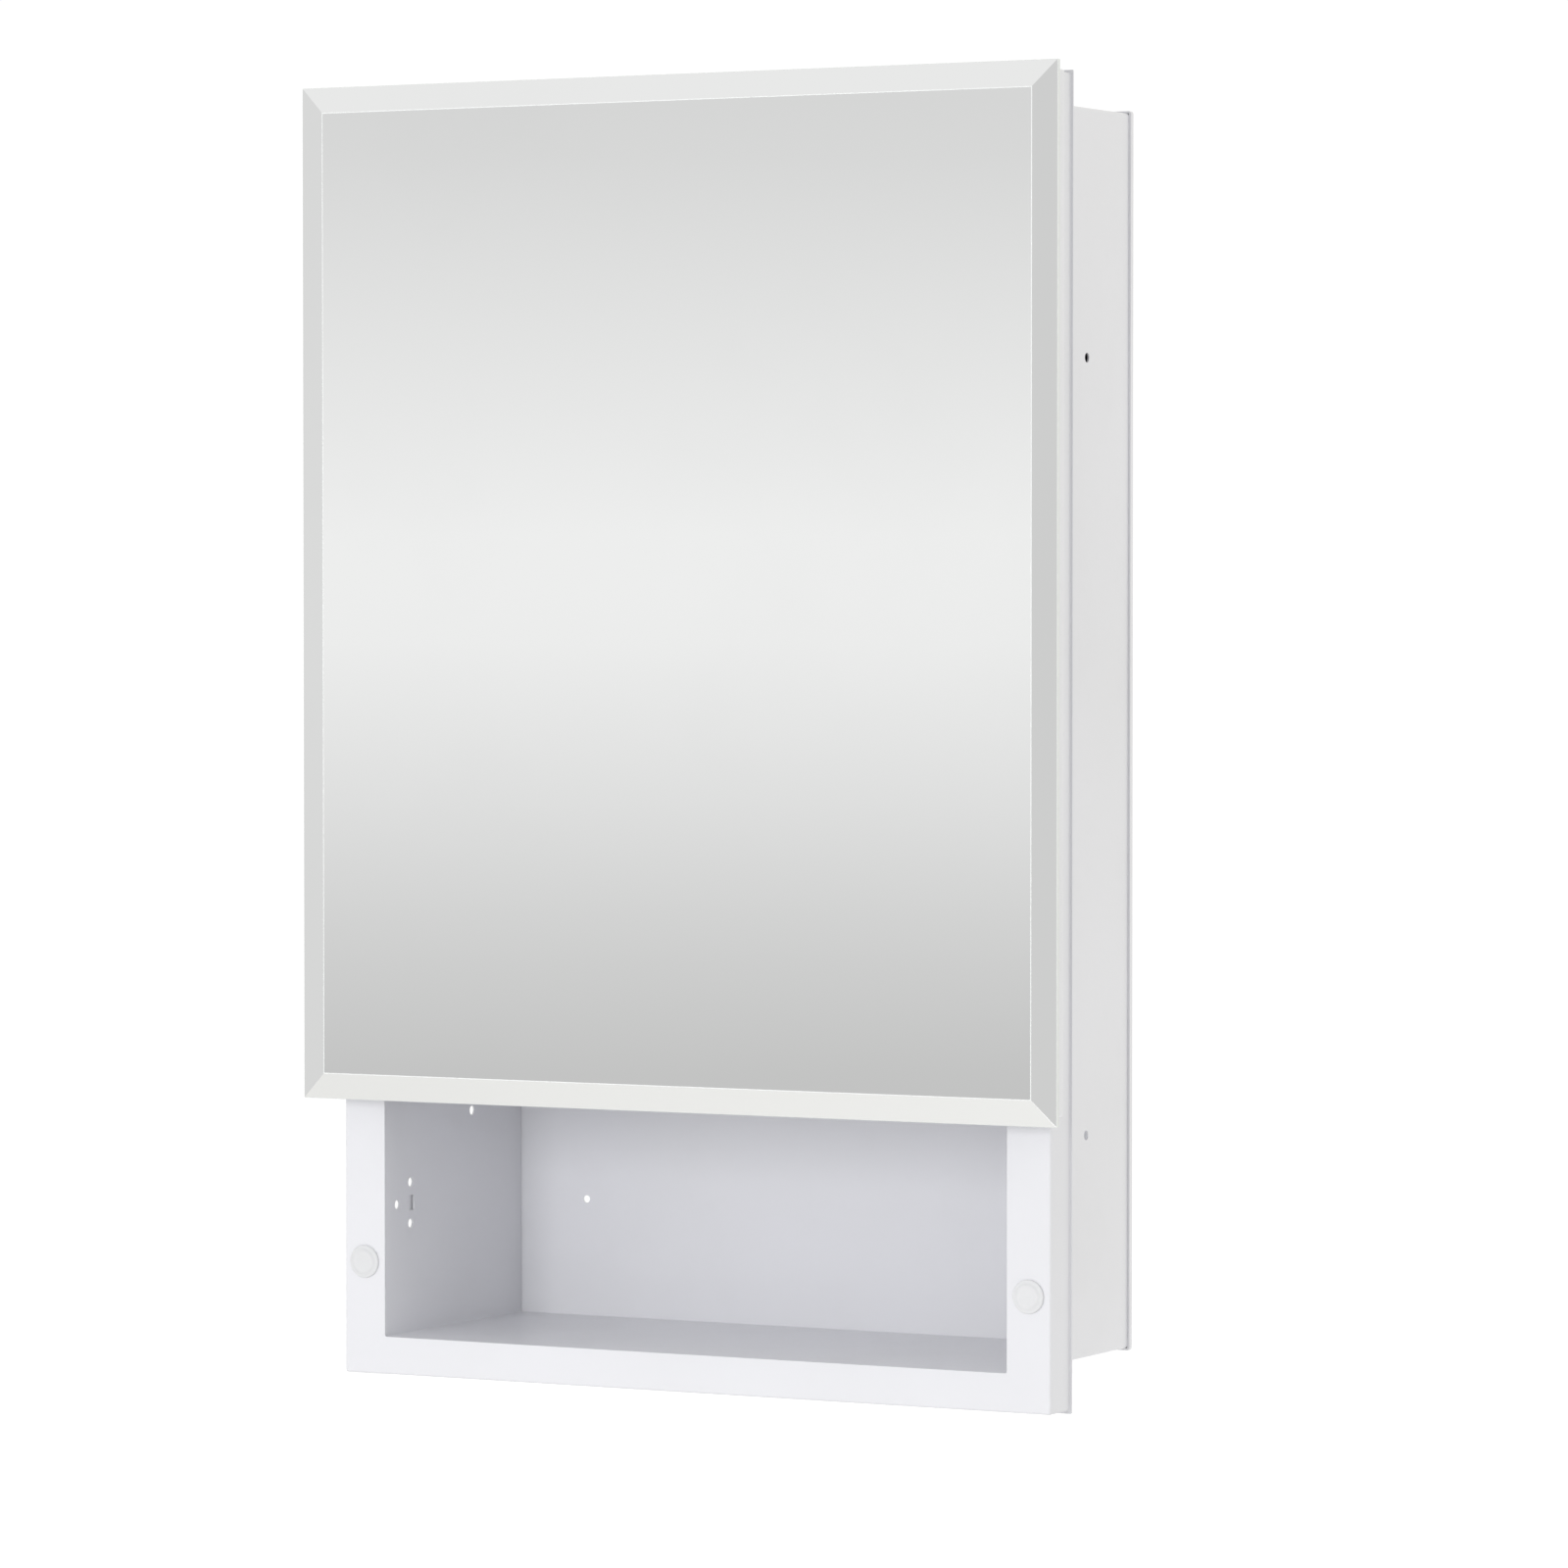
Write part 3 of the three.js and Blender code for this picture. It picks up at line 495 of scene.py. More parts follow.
# --- Body ---------------------------------------------------------------------------
# The same enamelled sheet bent round the four sides, its front edge flanged out behind
# the face frame. Punched holes take the shelf clips, the catch and the wall screws.
wrapper_low, wrapper_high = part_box("cabinet_wrapper")
flange_reach = wrapper_high.x - inner_high[0]
body_front = wrapper_low.y
body_rear = wrapper_high.y
flange_bend = 1.0 * MM
shell_corner = 0.6 * MM
shell = (inner_low, inner_high, shell_corner)
flange_rear = body_front + steel_sheet

shell_rings = [grow(*shell, flange_reach, body_front), grow(*shell, flange_reach, flange_rear)]
shell_rings += [grow(*shell, steel_sheet + fold_inside, flange_rear),
                grow(*shell, steel_sheet, flange_rear + fold_inside),
                grow(*shell, steel_sheet, body_rear - cut_chamfer),
                grow(*shell, steel_sheet - cut_chamfer, body_rear),
                grow(*shell, cut_chamfer, body_rear),
                grow(*shell, 0.0, body_rear - cut_chamfer)]
shell_rings += [grow(*shell, along, body_front + flange_bend - across)
                for across, along in quarter_bend(flange_bend, 4)]
body_shell = add_piece("body_shell", loft(shell_rings, True), [enamel])

clip_hole = 2.6 * MM
clip_drop = 7 * MM
catch_hole = 2.4 * MM
catch_hole_spacing = 21.5 * MM
catch_hole_depth = 26 * MM
peg_hole_depth = 12.5 * MM
slot_depth = 27 * MM
slot_size = (4.8 * MM, 8 * MM)
pattern_above_floor = 67.5 * MM
wall_hole = 2.5 * MM
wall_hole_depth = 67 * MM
wall_hole_above_floor = 111.5 * MM
wall_hole_below_top = 125.5 * MM
rivet_hole = 1.95 * MM
wall_x = inner_high[0] + steel_sheet / 2
through = 8 * MM

catch_low, catch_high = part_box("catch_housing")
catch_z = (catch_low.z + catch_high.z) / 2
wall_holes = []
wall_slots = bmesh.new()
for side in (-1, 1):
    x = side * wall_x
    side_name = "left" if side < 0 else "right"
    for shelf in (1, 2):
        low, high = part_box(f"shelf_clip_{shelf}_{side_name}")
        wall_holes.append(("x", (x, (low.y + high.y) / 2, low.z + clip_drop), clip_hole, through))
    for z in (inner_low[1] + pattern_above_floor, catch_z):
        for end in (-1, 1):
            z_hole = z + end * catch_hole_spacing / 2
            wall_holes.append(("x", (x, frame_face + catch_hole_depth, z_hole), catch_hole, through))
        wall_holes.append(("x", (x, frame_face + peg_hole_depth, z), catch_hole, through))
        slot_place = Matrix.Translation((x, frame_face + slot_depth, z))
        slot_shape = Matrix.Diagonal((through, slot_size[0], slot_size[1], 1.0))
        bmesh.ops.create_cube(wall_slots, size=1.0, matrix=slot_place @ slot_shape)
    for z in (inner_low[1] + wall_hole_above_floor, inner_high[1] + steel_sheet - wall_hole_below_top):
        wall_holes.append(("x", (x, frame_high.y + wall_hole_depth, z), wall_hole, through))
    for end in ("front", "back"):
        low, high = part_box(f"divider_rivet_{side_name}_{end}")
        wall_holes.append(("x", (x, (low.y + high.y) / 2, (low.z + high.z) / 2), rivet_hole, through))
drill(body_shell, wall_holes)
carve(body_shell, wall_slots)

# Behind each slot in the niche the sheet is pushed out into a small louvre.
louvre_lean = radians(11)
louvre_length = 7 * MM
louvre_stand_off = 1.1 * MM
louvre_margin = 1.4 * MM
louvres = bmesh.new()
louvres.from_mesh(body_shell.data)
for side in (-1, 1):
    outside = side * (inner_high[0] + steel_sheet + louvre_stand_off)
    middle = (outside, frame_face + slot_depth + louvre_length / 2, inner_low[1] + pattern_above_floor)
    lean = Matrix.Rotation(side * louvre_lean, 4, "Z")
    shape = Matrix.Diagonal((steel_sheet, louvre_length, slot_size[1] + louvre_margin, 1.0))
    bmesh.ops.create_cube(louvres, size=1.0, matrix=Matrix.Translation(middle) @ lean @ shape)
louvres.to_mesh(body_shell.data)
louvres.free()
drill(body_shell, [("y", place, plug_hole + plug_play, sheet_cut) for place in plug_places],
      plug_hole_sides)
stand_in(body_shell, "cabinet", "white_enamel", "cabinet_wrapper")


# --- Back panel ---------------------------------------------------------------------
# A very shallow enamelled pan laps over the body's rear edge. It is spot-welded to that,
# to the shelf rests and to the divider, and each weld leaves a small round dent. Four
# holes are punched near its corners.
pan_low, pan_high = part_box("back_panel")
back_outer = ((pan_low.x, pan_low.z), (pan_high.x, pan_high.z))
back_bend = 1.2 * MM
back_corner = 1.5 * MM
back_inside = pan_high.y - steel_sheet
back_edge_round = 0.4 * MM
hair = 0.01 * MM
lap = pan_high.x - inner_high[0] - steel_sheet - 2 * hair
back_rings = [grow(*back_outer, back_corner, across - back_bend, pan_high.y - along)
              for across, along in quarter_bend(back_bend)]
back_rings += [grow(*back_outer, back_corner, -along, pan_low.y + back_edge_round - across)
               for across, along in quarter_bend(back_edge_round, 4)]
back_rings += [grow(*back_outer, back_corner, -lap, pan_low.y)]
inner_bend = 0.6 * MM
back_rings += [grow(*back_outer, back_corner, -lap - along, back_inside - inner_bend + across)
               for across, along in quarter_bend(inner_bend, 3)]
back = add_piece("back_pan", loft(back_rings, False), [enamel])

back_hole = 2 * MM
back_hole_from_wall = 40 * MM
back_hole_from_end = 62 * MM
back_places = [(x, pan_high.y, z)
               for x in (inner_low[0] + back_hole_from_wall, inner_high[0] - back_hole_from_wall)
               for z in (inner_low[1] + back_hole_from_end, inner_high[1] - back_hole_from_end)]
drill(back, [("y", place, back_hole, sheet_cut) for place in back_places])

rim_weld = 8 * MM
rear_weld = 20 * MM
weld_depth = 0.13 * MM
weld_pitch = 76 * MM
weld_inset = 5 * MM
weld_y = (pan_low.y + pan_high.y) / 2
welds = bmesh.new()


def dent(ball, face, outward):
    """A shallow round dent: a ball that bites a little way into a face from outside."""
    place = Vector(face) + Vector(outward) * (ball - weld_depth)
    bmesh.ops.create_icosphere(welds, subdivisions=4, radius=ball, matrix=Matrix.Translation(place))


def spaced(low, high, pitch):
    """Places from low to high about a pitch apart, half a pitch in from each end."""
    count = max(1, round((high - low) / pitch))
    return [low + (high - low) * (i + 0.5) / count for i in range(count)]


for z in spaced(pan_low.z, pan_high.z, weld_pitch):
    dent(rim_weld, (pan_low.x, weld_y, z), (-1, 0, 0))
    dent(rim_weld, (pan_high.x, weld_y, z), (1, 0, 0))
for x in spaced(pan_low.x, pan_high.x, weld_pitch):
    dent(rim_weld, (x, weld_y, pan_low.z), (0, 0, -1))
    dent(rim_weld, (x, weld_y, pan_high.z), (0, 0, 1))
for shelf in (1, 2):
    for side_name in ("left", "right"):
        low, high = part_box(f"shelf_rest_{shelf}_{side_name}")
        for x in (low.x + weld_inset, high.x - weld_inset):
            dent(rear_weld, (x, pan_high.y, (low.z + high.z) / 2), (0, 1, 0))
flange_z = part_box("divider_shelf")[1].z - weld_inset
for x in spaced(inner_low[0], inner_high[0], weld_pitch):
    dent(rear_weld, (x, pan_high.y, flange_z), (0, 1, 0))
carve(back, welds)
stand_in(back, "cabinet", "white_enamel", "back_panel")


# --- Divider shelf ------------------------------------------------------------------
# A folded shelf of the same sheet closes the compartment above the niche. It has a lip
# down at the front and flanges up at the sides and back, and bright zinc-plated rivets
# hold it to the side walls.
flat_within = radians(1)
edge_over = radians(40)


def round_edges(piece, width, segments=2):
    """Rounds the piece's edges over by a width."""
    rounding = piece.modifiers.new("edge rounding", "BEVEL")
    rounding.width = width
    rounding.segments = segments
    rounding.limit_method = "ANGLE"
    rounding.angle_limit = edge_over
    rounding.harden_normals = True


def refined(name, node, body, slot, finishes, width, segments=2):
    """A clean copy of a CAD node's solid with its edges rounded over."""
    mesh = bmesh.new()
    mesh.from_mesh(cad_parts[node].data)
    bmesh.ops.remove_doubles(mesh, verts=mesh.verts, dist=hair)
    bmesh.ops.dissolve_limit(mesh, angle_limit=flat_within, verts=mesh.verts, edges=mesh.edges)
    piece = add_piece(name, mesh, finishes)
    round_edges(piece, width, segments)
    stand_in(piece, body, slot, node)
    return piece


refined("divider", "divider_shelf", "cabinet", "white_enamel", [enamel], 0.25 * MM)

# Plating: a fine crystal spangle, drawn lines along one axis and a few dull patches.
plate_group, plate_in, plate_out = effect(
    "zinc plating",
    [("Place", (0.0, 0.0, 0.0)), ("Spangle Scale", 700.0), ("Line Scale", 2500.0)],
    [("Tone", "NodeSocketFloat"), ("Dull", "NodeSocketFloat"), ("Relief", "NodeSocketFloat")])
crystals = add_node(plate_group, "ShaderNodeTexVoronoi", {
    "Vector": plate_in.outputs["Place"], "Scale": plate_in.outputs["Spangle Scale"]})
crystal_tone = add_node(plate_group, "ShaderNodeSeparateColor", {0: crystals.outputs["Color"]})
stretched = add_node(plate_group, "ShaderNodeMapping", {
    "Vector": plate_in.outputs["Place"], "Scale": (1.0, 1.0, 0.02)})
lines = noise(plate_group, stretched.outputs["Vector"], plate_in.outputs["Line Scale"])
patches = noise(plate_group, plate_in.outputs["Place"], 60.0, detail=4.0, roughness=0.6)
tone = arithmetic(plate_group, "MULTIPLY", crystal_tone.outputs["Red"], lines)
plate_group.links.new(tone, plate_out.inputs["Tone"])
plate_group.links.new(patches, plate_out.inputs["Dull"])
plate_group.links.new(arithmetic(plate_group, "MULTIPLY", lines, 0.000006), plate_out.inputs["Relief"])


zinc_bright = (0.68, 0.69, 0.71, 1.0)
zinc_dull = (0.40, 0.41, 0.43, 1.0)
zinc, tree, surface, place = new_finish("bright_zinc", Metallic=1.0)
plating = place_effect(tree, plate_group, Place=place)
edge = place_effect(tree, edge_group, Width=0.0005, Strength=3.0)
base = blend_colours(tree, plating["Tone"], zinc_bright, zinc_dull)
patched = blend_colours(tree, spread(tree, plating["Dull"], 0.0, 0.5), base, zinc_dull)
colour_by(tree, surface, spread(tree, edge["Edge"], 0.0, 0.6), patched, zinc_bright)
roughen_by(tree, surface, plating["Dull"], 0.22, 0.5)
raise_bump(tree, surface, plating["Relief"])


def spun(profile, place, direction, steps=48):
    """A bmesh turned from a profile of (radius, along) that starts and ends on the axis."""
    mesh = bmesh.new()
    turn = Vector((0.0, 0.0, 1.0)).rotation_difference(Vector(direction)).to_matrix().to_4x4()
    where = Matrix.Translation(place) @ turn
    first = mesh.verts.new(where @ Vector((0.0, 0.0, profile[0][1])))
    last = mesh.verts.new(where @ Vector((0.0, 0.0, profile[-1][1])))
    rows = []
    angles = [2 * pi * i / steps for i in range(steps)]
    for radius, along in profile[1:-1]:
        ring = [Vector((radius * cos(a), radius * sin(a), along)) for a in angles]
        rows.append([mesh.verts.new(where @ point) for point in ring])
    for i in range(steps):
        j = (i + 1) % steps
        mesh.faces.new((first, rows[0][j], rows[0][i]))
        mesh.faces.new((last, rows[-1][i], rows[-1][j]))
        for near, far in zip(rows, rows[1:]):
            mesh.faces.new((near[i], near[j], far[j], far[i]))
    return mesh


def dome(radius, height, steps=8, base=0.0):
    """Profile points over a low dome, from its rim at a base height to its crown."""
    return [(radius * cos(i / steps * pi / 2), base + height * sin(i / steps * pi / 2))
            for i in range(steps + 1)]


rivet_head = 3.2 * MM
rivet_head_height = 1.2 * MM
rivet_rim = 0.15 * MM
rivet_shank = 1.6 * MM
rivet_tail = 2.3 * MM
tail_length = 1.8 * MM
mandrel_radius = 0.8 * MM
mandrel_drop = 0.35 * MM
seat_gap = 0.3 * MM


def rivet(name, node, body, direction):
    """A blind rivet: low dome with the end of its mandrel, shank and swollen tail."""
    low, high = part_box(node)
    reach = (high - low).dot(Vector([abs(part) for part in direction])) / 2
    crown = (low + high) / 2 + Vector(direction) * reach
    rim = -rivet_head_height
    tail = -2 * reach
    profile = [(0.0, tail), (rivet_tail * 0.55, tail), (rivet_tail * 0.9, tail + 0.5 * MM),
               (rivet_tail, tail + 1.0 * MM), (rivet_shank, tail + tail_length), (rivet_shank, rim),
               (rivet_head, rim)]
    profile += dome(rivet_head, rivet_head_height - rivet_rim, base=rim + rivet_rim)[:6]
    dish = profile[-1][1]
    profile += [(mandrel_radius + 0.05 * MM, dish + 0.02 * MM), (mandrel_radius, dish - mandrel_drop),
                (0.0, dish - mandrel_drop)]
    piece = add_piece(name, spun(profile, crown, direction), [zinc])
    stand_in(piece, body, "zinc", node)
    return piece


for side_name, inward in (("left", 1), ("right", -1)):
    for end in ("front", "back"):
        node = f"divider_rivet_{side_name}_{end}"
        rivet(f"shelf_rivet_{side_name}_{end}", node, "cabinet", (inward, 0, 0))


# --- Hole plugs ---------------------------------------------------------------------
# Two moulded white nylon covers snap into the unused holes of the stiles. Each has a low
# cap with a slightly dished middle, and a springy skirt with a barb behind the sheet.
def moulded_finish(name, colour, roughness, **constants):
    """Moulded plastic: a soft gloss with faint flow marks, a fine grain and smudges."""
    material, tree, surface, place = new_finish(name, **constants)
    skin = place_effect(tree, peel_group, Place=place, Peel_Scale=1800.0, Peel_Depth=0.000004,
                        Wave_Scale=45.0, Wave_Depth=0.00002)
    touch = place_effect(tree, touch_group, Place=place, Smudge_Scale=60.0, Dust_Scale=1500.0)
    shade = tuple(part * 0.93 for part in colour[:3]) + (1.0,)
    colour_by(tree, surface, skin["Mottle"], colour, shade)
    roughen_by(tree, surface, touch["Smudge"], *roughness)
    raise_bump(tree, surface, skin["Relief"])
    return material


nylon = moulded_finish("white_nylon", (0.76, 0.765, 0.78, 1.0), (0.32, 0.42),
                       Subsurface_Weight=0.1, Subsurface_Scale=0.001,
                       Subsurface_Radius=(1.0, 1.0, 1.0))

skirt_wall = 1.2 * MM
skirt_nose = 0.8 * MM
barb_reach = 0.5 * MM
cap_seat = 0.05 * MM
cap_round = 0.15 * MM
cap_edge = 0.5 * MM
for side_name, (low, high), place in zip(("left", "right"), plug_boxes, plug_places):
    cap = (high.x - low.x) / 2
    crown = place.y - low.y
    rear = place.y - high.y
    skirt = plug_hole - seat_gap
    bore = skirt - skirt_wall
    profile = [(0.0, -seat_gap), (bore, -seat_gap), (bore, rear), (bore + skirt_nose, rear),
               (skirt + barb_reach, rear * 0.4), (skirt, rear * 0.34), (skirt, cap_seat),
               (cap - cap_round, cap_seat), (cap, cap_seat + cap_round), (cap, cap_seat + cap_edge)]
    shoulder = crown - cap_seat - cap_edge
    bend_in = cap * 0.15
    turns = [i / 7 * pi / 2 for i in range(1, 8)]
    profile += [(cap - bend_in * (1 - cos(a)), cap_seat + cap_edge + shoulder * 0.45 * sin(a))
                for a in turns]
    slope_and_dish = ((0.76, 0.7), (0.70, 0.25), (0.63, 0.04), (0.56, 0.0), (0.46, 0.12), (0.25, 0.3),
                      (0.0, 0.36))
    profile += [(cap * share, crown - drop * MM) for share, drop in slope_and_dish]
    plug = add_piece(f"stile_plug_{side_name}", spun(profile, place, (0, -1, 0), 64), [nylon], 50)
    stand_in(plug, "cabinet", "white_plastic", f"hole_plug_{side_name}")


# --- Glass shelves ------------------------------------------------------------------
# Two loose shelves of clear float glass with polished edges. Each lies on two clear
# moulded clips pressed into the side walls and on two steel angles welded behind.
glass_tint = (0.93, 0.975, 0.96, 1.0)
float_glass, tree, surface, place = new_finish(
    "float_glass", Base_Color=glass_tint, IOR=1.52, Transmission_Weight=1.0)
touch = place_effect(tree, touch_group, Place=place, Smudge_Scale=18.0)
roughen_by(tree, surface, touch["Smudge"], 0.0, 0.07)

glass_edge, tree, surface, place = new_finish(
    "polished_glass_edge", IOR=1.52, Transmission_Weight=0.55)
ripple = place_effect(tree, peel_group, Place=place, Peel_Scale=300.0, Peel_Depth=0.00002,
                      Wave_Scale=30.0, Wave_Depth=0.0001)
colour_by(tree, surface, ripple["Mottle"], (0.50, 0.72, 0.64, 1.0), (0.66, 0.82, 0.76, 1.0))
roughen_by(tree, surface, ripple["Mottle"], 0.06, 0.16)
raise_bump(tree, surface, ripple["Relief"])

clear_plastic = moulded_finish("clear_plastic", (0.90, 0.93, 0.94, 1.0), (0.18, 0.34),
                               IOR=1.49, Transmission_Weight=0.7)

shelf_corner = 4 * MM
shelf_arris = 0.6 * MM


def shelf_ring(low, high, inset, height):
    """A ring of points: the shelf's outline drawn in by an inset, lying flat at a height."""
    upright = outline((low.x + inset, low.y + inset), (high.x - inset, high.y - inset),
                      shelf_corner - inset, 0.0)
    return [(x, y, height) for x, _, y in upright]


for shelf in (1, 2):
    low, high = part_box(f"glass_shelf_{shelf}")
    levels = ((shelf_arris, low.z), (0.0, low.z + shelf_arris), (0.0, high.z - shelf_arris),
              (shelf_arris, high.z))
    rings = [shelf_ring(low, high, inset, height) for inset, height in levels]
    glass = add_piece(f"shelf_pane_{shelf}", loft(rings, False), [float_glass, glass_edge], 20)
    for face in glass.data.polygons:
        face.material_index = 0 if abs(face.normal.z) > 0.9 else 1
    stand_in(glass, f"shelf_{shelf}", "shelf_glass", f"glass_shelf_{shelf}")

for shelf in (1, 2):
    for side_name in ("left", "right"):
        label = f"{shelf}_{side_name}"
        refined(f"clip_{label}", f"shelf_clip_{label}", "cabinet", "clear_plastic",
                [clear_plastic], 0.35 * MM, 3)
        refined(f"rest_{label}", f"shelf_rest_{label}", "cabinet", "white_enamel", [enamel], 0.2 * MM)


# --- Magnetic catch -----------------------------------------------------------------
# A moulded housing on the right wall holds a ceramic magnet between two steel plates,
# whose proud edges pull on a plate on the door. Two cross-head screws fix it.
refined("catch_body", "catch_housing", "cabinet", "white_plastic", [nylon], 0.4 * MM, 3)
refined("catch_plate_inner", "catch_pole_inner", "cabinet", "zinc", [zinc], 0.15 * MM)
refined("catch_plate_outer", "catch_pole_outer", "cabinet", "zinc", [zinc], 0.15 * MM)

ferrite, tree, surface, place = new_finish("ceramic_magnet", Specular_IOR_Level=0.3)
grain = place_effect(tree, peel_group, Place=place, Peel_Scale=2600.0, Peel_Depth=0.00003,
                     Wave_Scale=300.0, Wave_Depth=0.00004)
colour_by(tree, surface, grain["Mottle"], (0.035, 0.035, 0.04, 1.0), (0.075, 0.073, 0.075, 1.0))
roughen_by(tree, surface, grain["Mottle"], 0.6, 0.8)
raise_bump(tree, surface, grain["Relief"])
refined("magnet_block", "catch_magnet", "cabinet", "ferrite", [ferrite], 0.3 * MM)

screw_head = 3.2 * MM
screw_head_height = 1.9 * MM
screw_shank = 1.9 * MM
screw_thread = 1.55 * MM
thread_pitch = 1.25 * MM
recess_width = 0.75 * MM
recess_depth = 1.2 * MM
recess_span = 3.4 * MM
screw_rim = 0.5 * MM
thread_start = 1.6 * MM
thread_end = 0.4 * MM
for end, driven_to in (("lower", radians(25)), ("upper", radians(61))):
    low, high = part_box(f"catch_screw_{end}")
    crown = Vector((low.x, (low.y + high.y) / 2, (low.z + high.z) / 2))
    length = high.x - low.x
    rim = -screw_head_height
    profile = [(0.0, -length), (screw_thread * 0.4, -length + 0.8 * MM)]
    threads = int((length - screw_head_height - thread_start - thread_end) / thread_pitch)
    for turn in range(threads):
        along = -length + thread_start + turn * thread_pitch
        profile += [(screw_thread, along), (screw_shank, along + thread_pitch * 0.45)]
    profile += [(screw_thread, rim - seat_gap), (screw_thread, rim), (screw_head, rim)]
    profile += dome(screw_head, screw_head_height - screw_rim, base=rim + screw_rim)[:-1]
    profile += [(0.0, 0.0)]
    screw = add_piece(f"catch_fixing_{end}", spun(profile, crown, (-1, 0, 0)), [zinc])
    for turn, depth in ((driven_to, recess_depth), (driven_to + pi / 2, recess_depth * 0.9)):
        bar = bmesh.new()
        place = Matrix.Translation(crown) @ Matrix.Rotation(turn, 4, "X")
        size = Matrix.Diagonal((depth * 2, recess_width, recess_span, 1.0))
        bmesh.ops.create_cube(bar, size=1.0, matrix=place @ size)
        carve(screw, bar)
    stand_in(screw, "cabinet", "zinc", f"catch_screw_{end}")


# --- Hinge --------------------------------------------------------------------------
# A continuous hinge of zinc-plated strip runs the height of the door. One leaf is riveted
# to the frame's side and one to the back of the door, and their rolled knuckles take
# turns round one long pin.
pin_low, pin_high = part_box("hinge_pin")
pin_axis = (pin_low + pin_high) / 2
pin_radius = (pin_high.x - pin_low.x) / 2
knuckle_count = 15
knuckle_gap = 0.4 * MM
knuckle_radius = 2.22 * MM
bore_radius = 1.32 * MM
leaf_sheet = 0.9 * MM
leaf_round = 0.12 * MM
knuckle_pitch = (pin_high.z - pin_low.z) / knuckle_count

pin_nose = 0.5 * MM
half_pin = (pin_high.z - pin_low.z) / 2
pin_end = dome(pin_radius, pin_nose, 6, base=half_pin - pin_nose)
pin_profile = [(r, -along) for r, along in reversed(pin_end)] + pin_end
pin = add_piece("long_pin", spun(pin_profile, pin_axis, (0, 0, 1), 32), [zinc])
stand_in(pin, "cabinet", "zinc", "hinge_pin")


def rolled_knuckle(mesh, leaf_axis, low, high, steps=40):
    """A strip rolled round the pin from the leaf's edge, open by a hair at its lip."""
    start = atan2(leaf_axis[1], leaf_axis[0])
    sweep = radians(352)
    turns = [start + sweep * i / steps for i in range(steps + 1)]
    rows = []
    section = ((knuckle_radius, low), (knuckle_radius, high), (bore_radius, high), (bore_radius, low))
    for radius, z in section:
        rows.append([mesh.verts.new((pin_axis.x + radius * cos(a), pin_axis.y + radius * sin(a), z))
                     for a in turns])
    for near, far in zip(rows, rows[1:] + rows[:1]):
        for i in range(steps):
            mesh.faces.new((near[i], near[i + 1], far[i + 1], far[i]))
    for i in (0, steps):
        mesh.faces.new([row[i] for row in rows])


def add_block(mesh, low, high):
    """A plain box between two corners, added to a mesh."""
    middle = (Vector(low) + Vector(high)) / 2
    size = Vector(high) - Vector(low)
    place = Matrix.Translation(middle) @ Matrix.Diagonal((*size, 1.0))
    bmesh.ops.create_cube(mesh, size=1.0, matrix=place)


def hinge_leaf(name, node, body, parity, leaf_axis, strip):
    """A leaf with its own knuckles: the strip gives the flat's corners from low to high,
    and the arm reaches from it to each knuckle."""
    mesh = bmesh.new()
    low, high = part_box(node)
    flat_low, flat_high, arm_low, arm_high = strip(low, high)
    add_block(mesh, (*flat_low, low.z), (*flat_high, high.z))
    for i in range(parity, knuckle_count, 2):
        bottom = pin_low.z + i * knuckle_pitch + knuckle_gap / 2
        top = bottom + knuckle_pitch - knuckle_gap
        rolled_knuckle(mesh, leaf_axis, bottom, top)
        add_block(mesh, (*arm_low, bottom), (*arm_high, top))
    leaf = add_piece(name, mesh, [zinc])
    round_edges(leaf, leaf_round)
    stand_in(leaf, body, "zinc", node)


def frame_strip(low, high):
    """The corners of the flat on the frame's side, and of the arm to a knuckle."""
    outer = high.x - leaf_sheet
    clear = pin_axis.y + knuckle_radius + seat_gap
    bore_side = pin_axis.x + bore_radius
    return (outer, clear), (high.x, high.y), (bore_side, pin_axis.y), (high.x, clear + seat_gap)


def door_strip(low, high):
    """The corners of the flat on the door's back, and of the arm to a knuckle."""
    clear = pin_axis.x + knuckle_radius + seat_gap
    bore_side = pin_axis.y - bore_radius
    return (clear, low.y), (high.x, low.y + leaf_sheet), (pin_axis.x, low.y), (clear + seat_gap, bore_side)


hinge_leaf("side_leaf", "hinge_leaf_frame", "cabinet", 0, (1, 0), frame_strip)
hinge_leaf("door_leaf", "hinge_leaf_door", "mirror_door", 1, (0, -1), door_strip)
for i in (1, 2, 3):
    rivet(f"side_leaf_rivet_{i}", f"frame_rivet_{i}", "cabinet", (-1, 0, 0))
    rivet(f"door_leaf_rivet_{i}", f"door_rivet_{i}", "mirror_door", (0, 1, 0))


# --- Door pan -----------------------------------------------------------------------
# A folded tray of enamelled steel carries the mirror. It is closed behind and on its
# edges, and its lips at the front hold the glass by foam tape, over a board of foam.
tray_low, tray_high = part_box("door_pan")
tray = ((tray_low.x, tray_low.z), (tray_high.x, tray_high.z))
tray_sheet = 0.8 * MM
tray_bend = 1.1 * MM
tray_corner = 1.4 * MM
tray_lip = 12 * MM
tray_cut = 4 * MM
tray_rings = [grow(*tray, tray_corner, across - tray_bend, tray_high.y - along)
              for across, along in quarter_bend(tray_bend)]
tray_rings += [grow(*tray, tray_corner, -along, tray_low.y + tray_bend - across)
               for across, along in quarter_bend(tray_bend)]
tray_rings += [grow(*tray, tray_corner, -tray_lip, tray_low.y),
               grow(*tray, tray_corner, -tray_lip, tray_low.y + tray_sheet),
               grow(*tray, tray_corner, -tray_sheet, tray_low.y + tray_sheet),
               grow(*tray, tray_corner, -tray_sheet, tray_high.y - tray_sheet)]
door_tray = add_piece("door_tray", loft(tray_rings, False), [enamel])
tray_holes = []
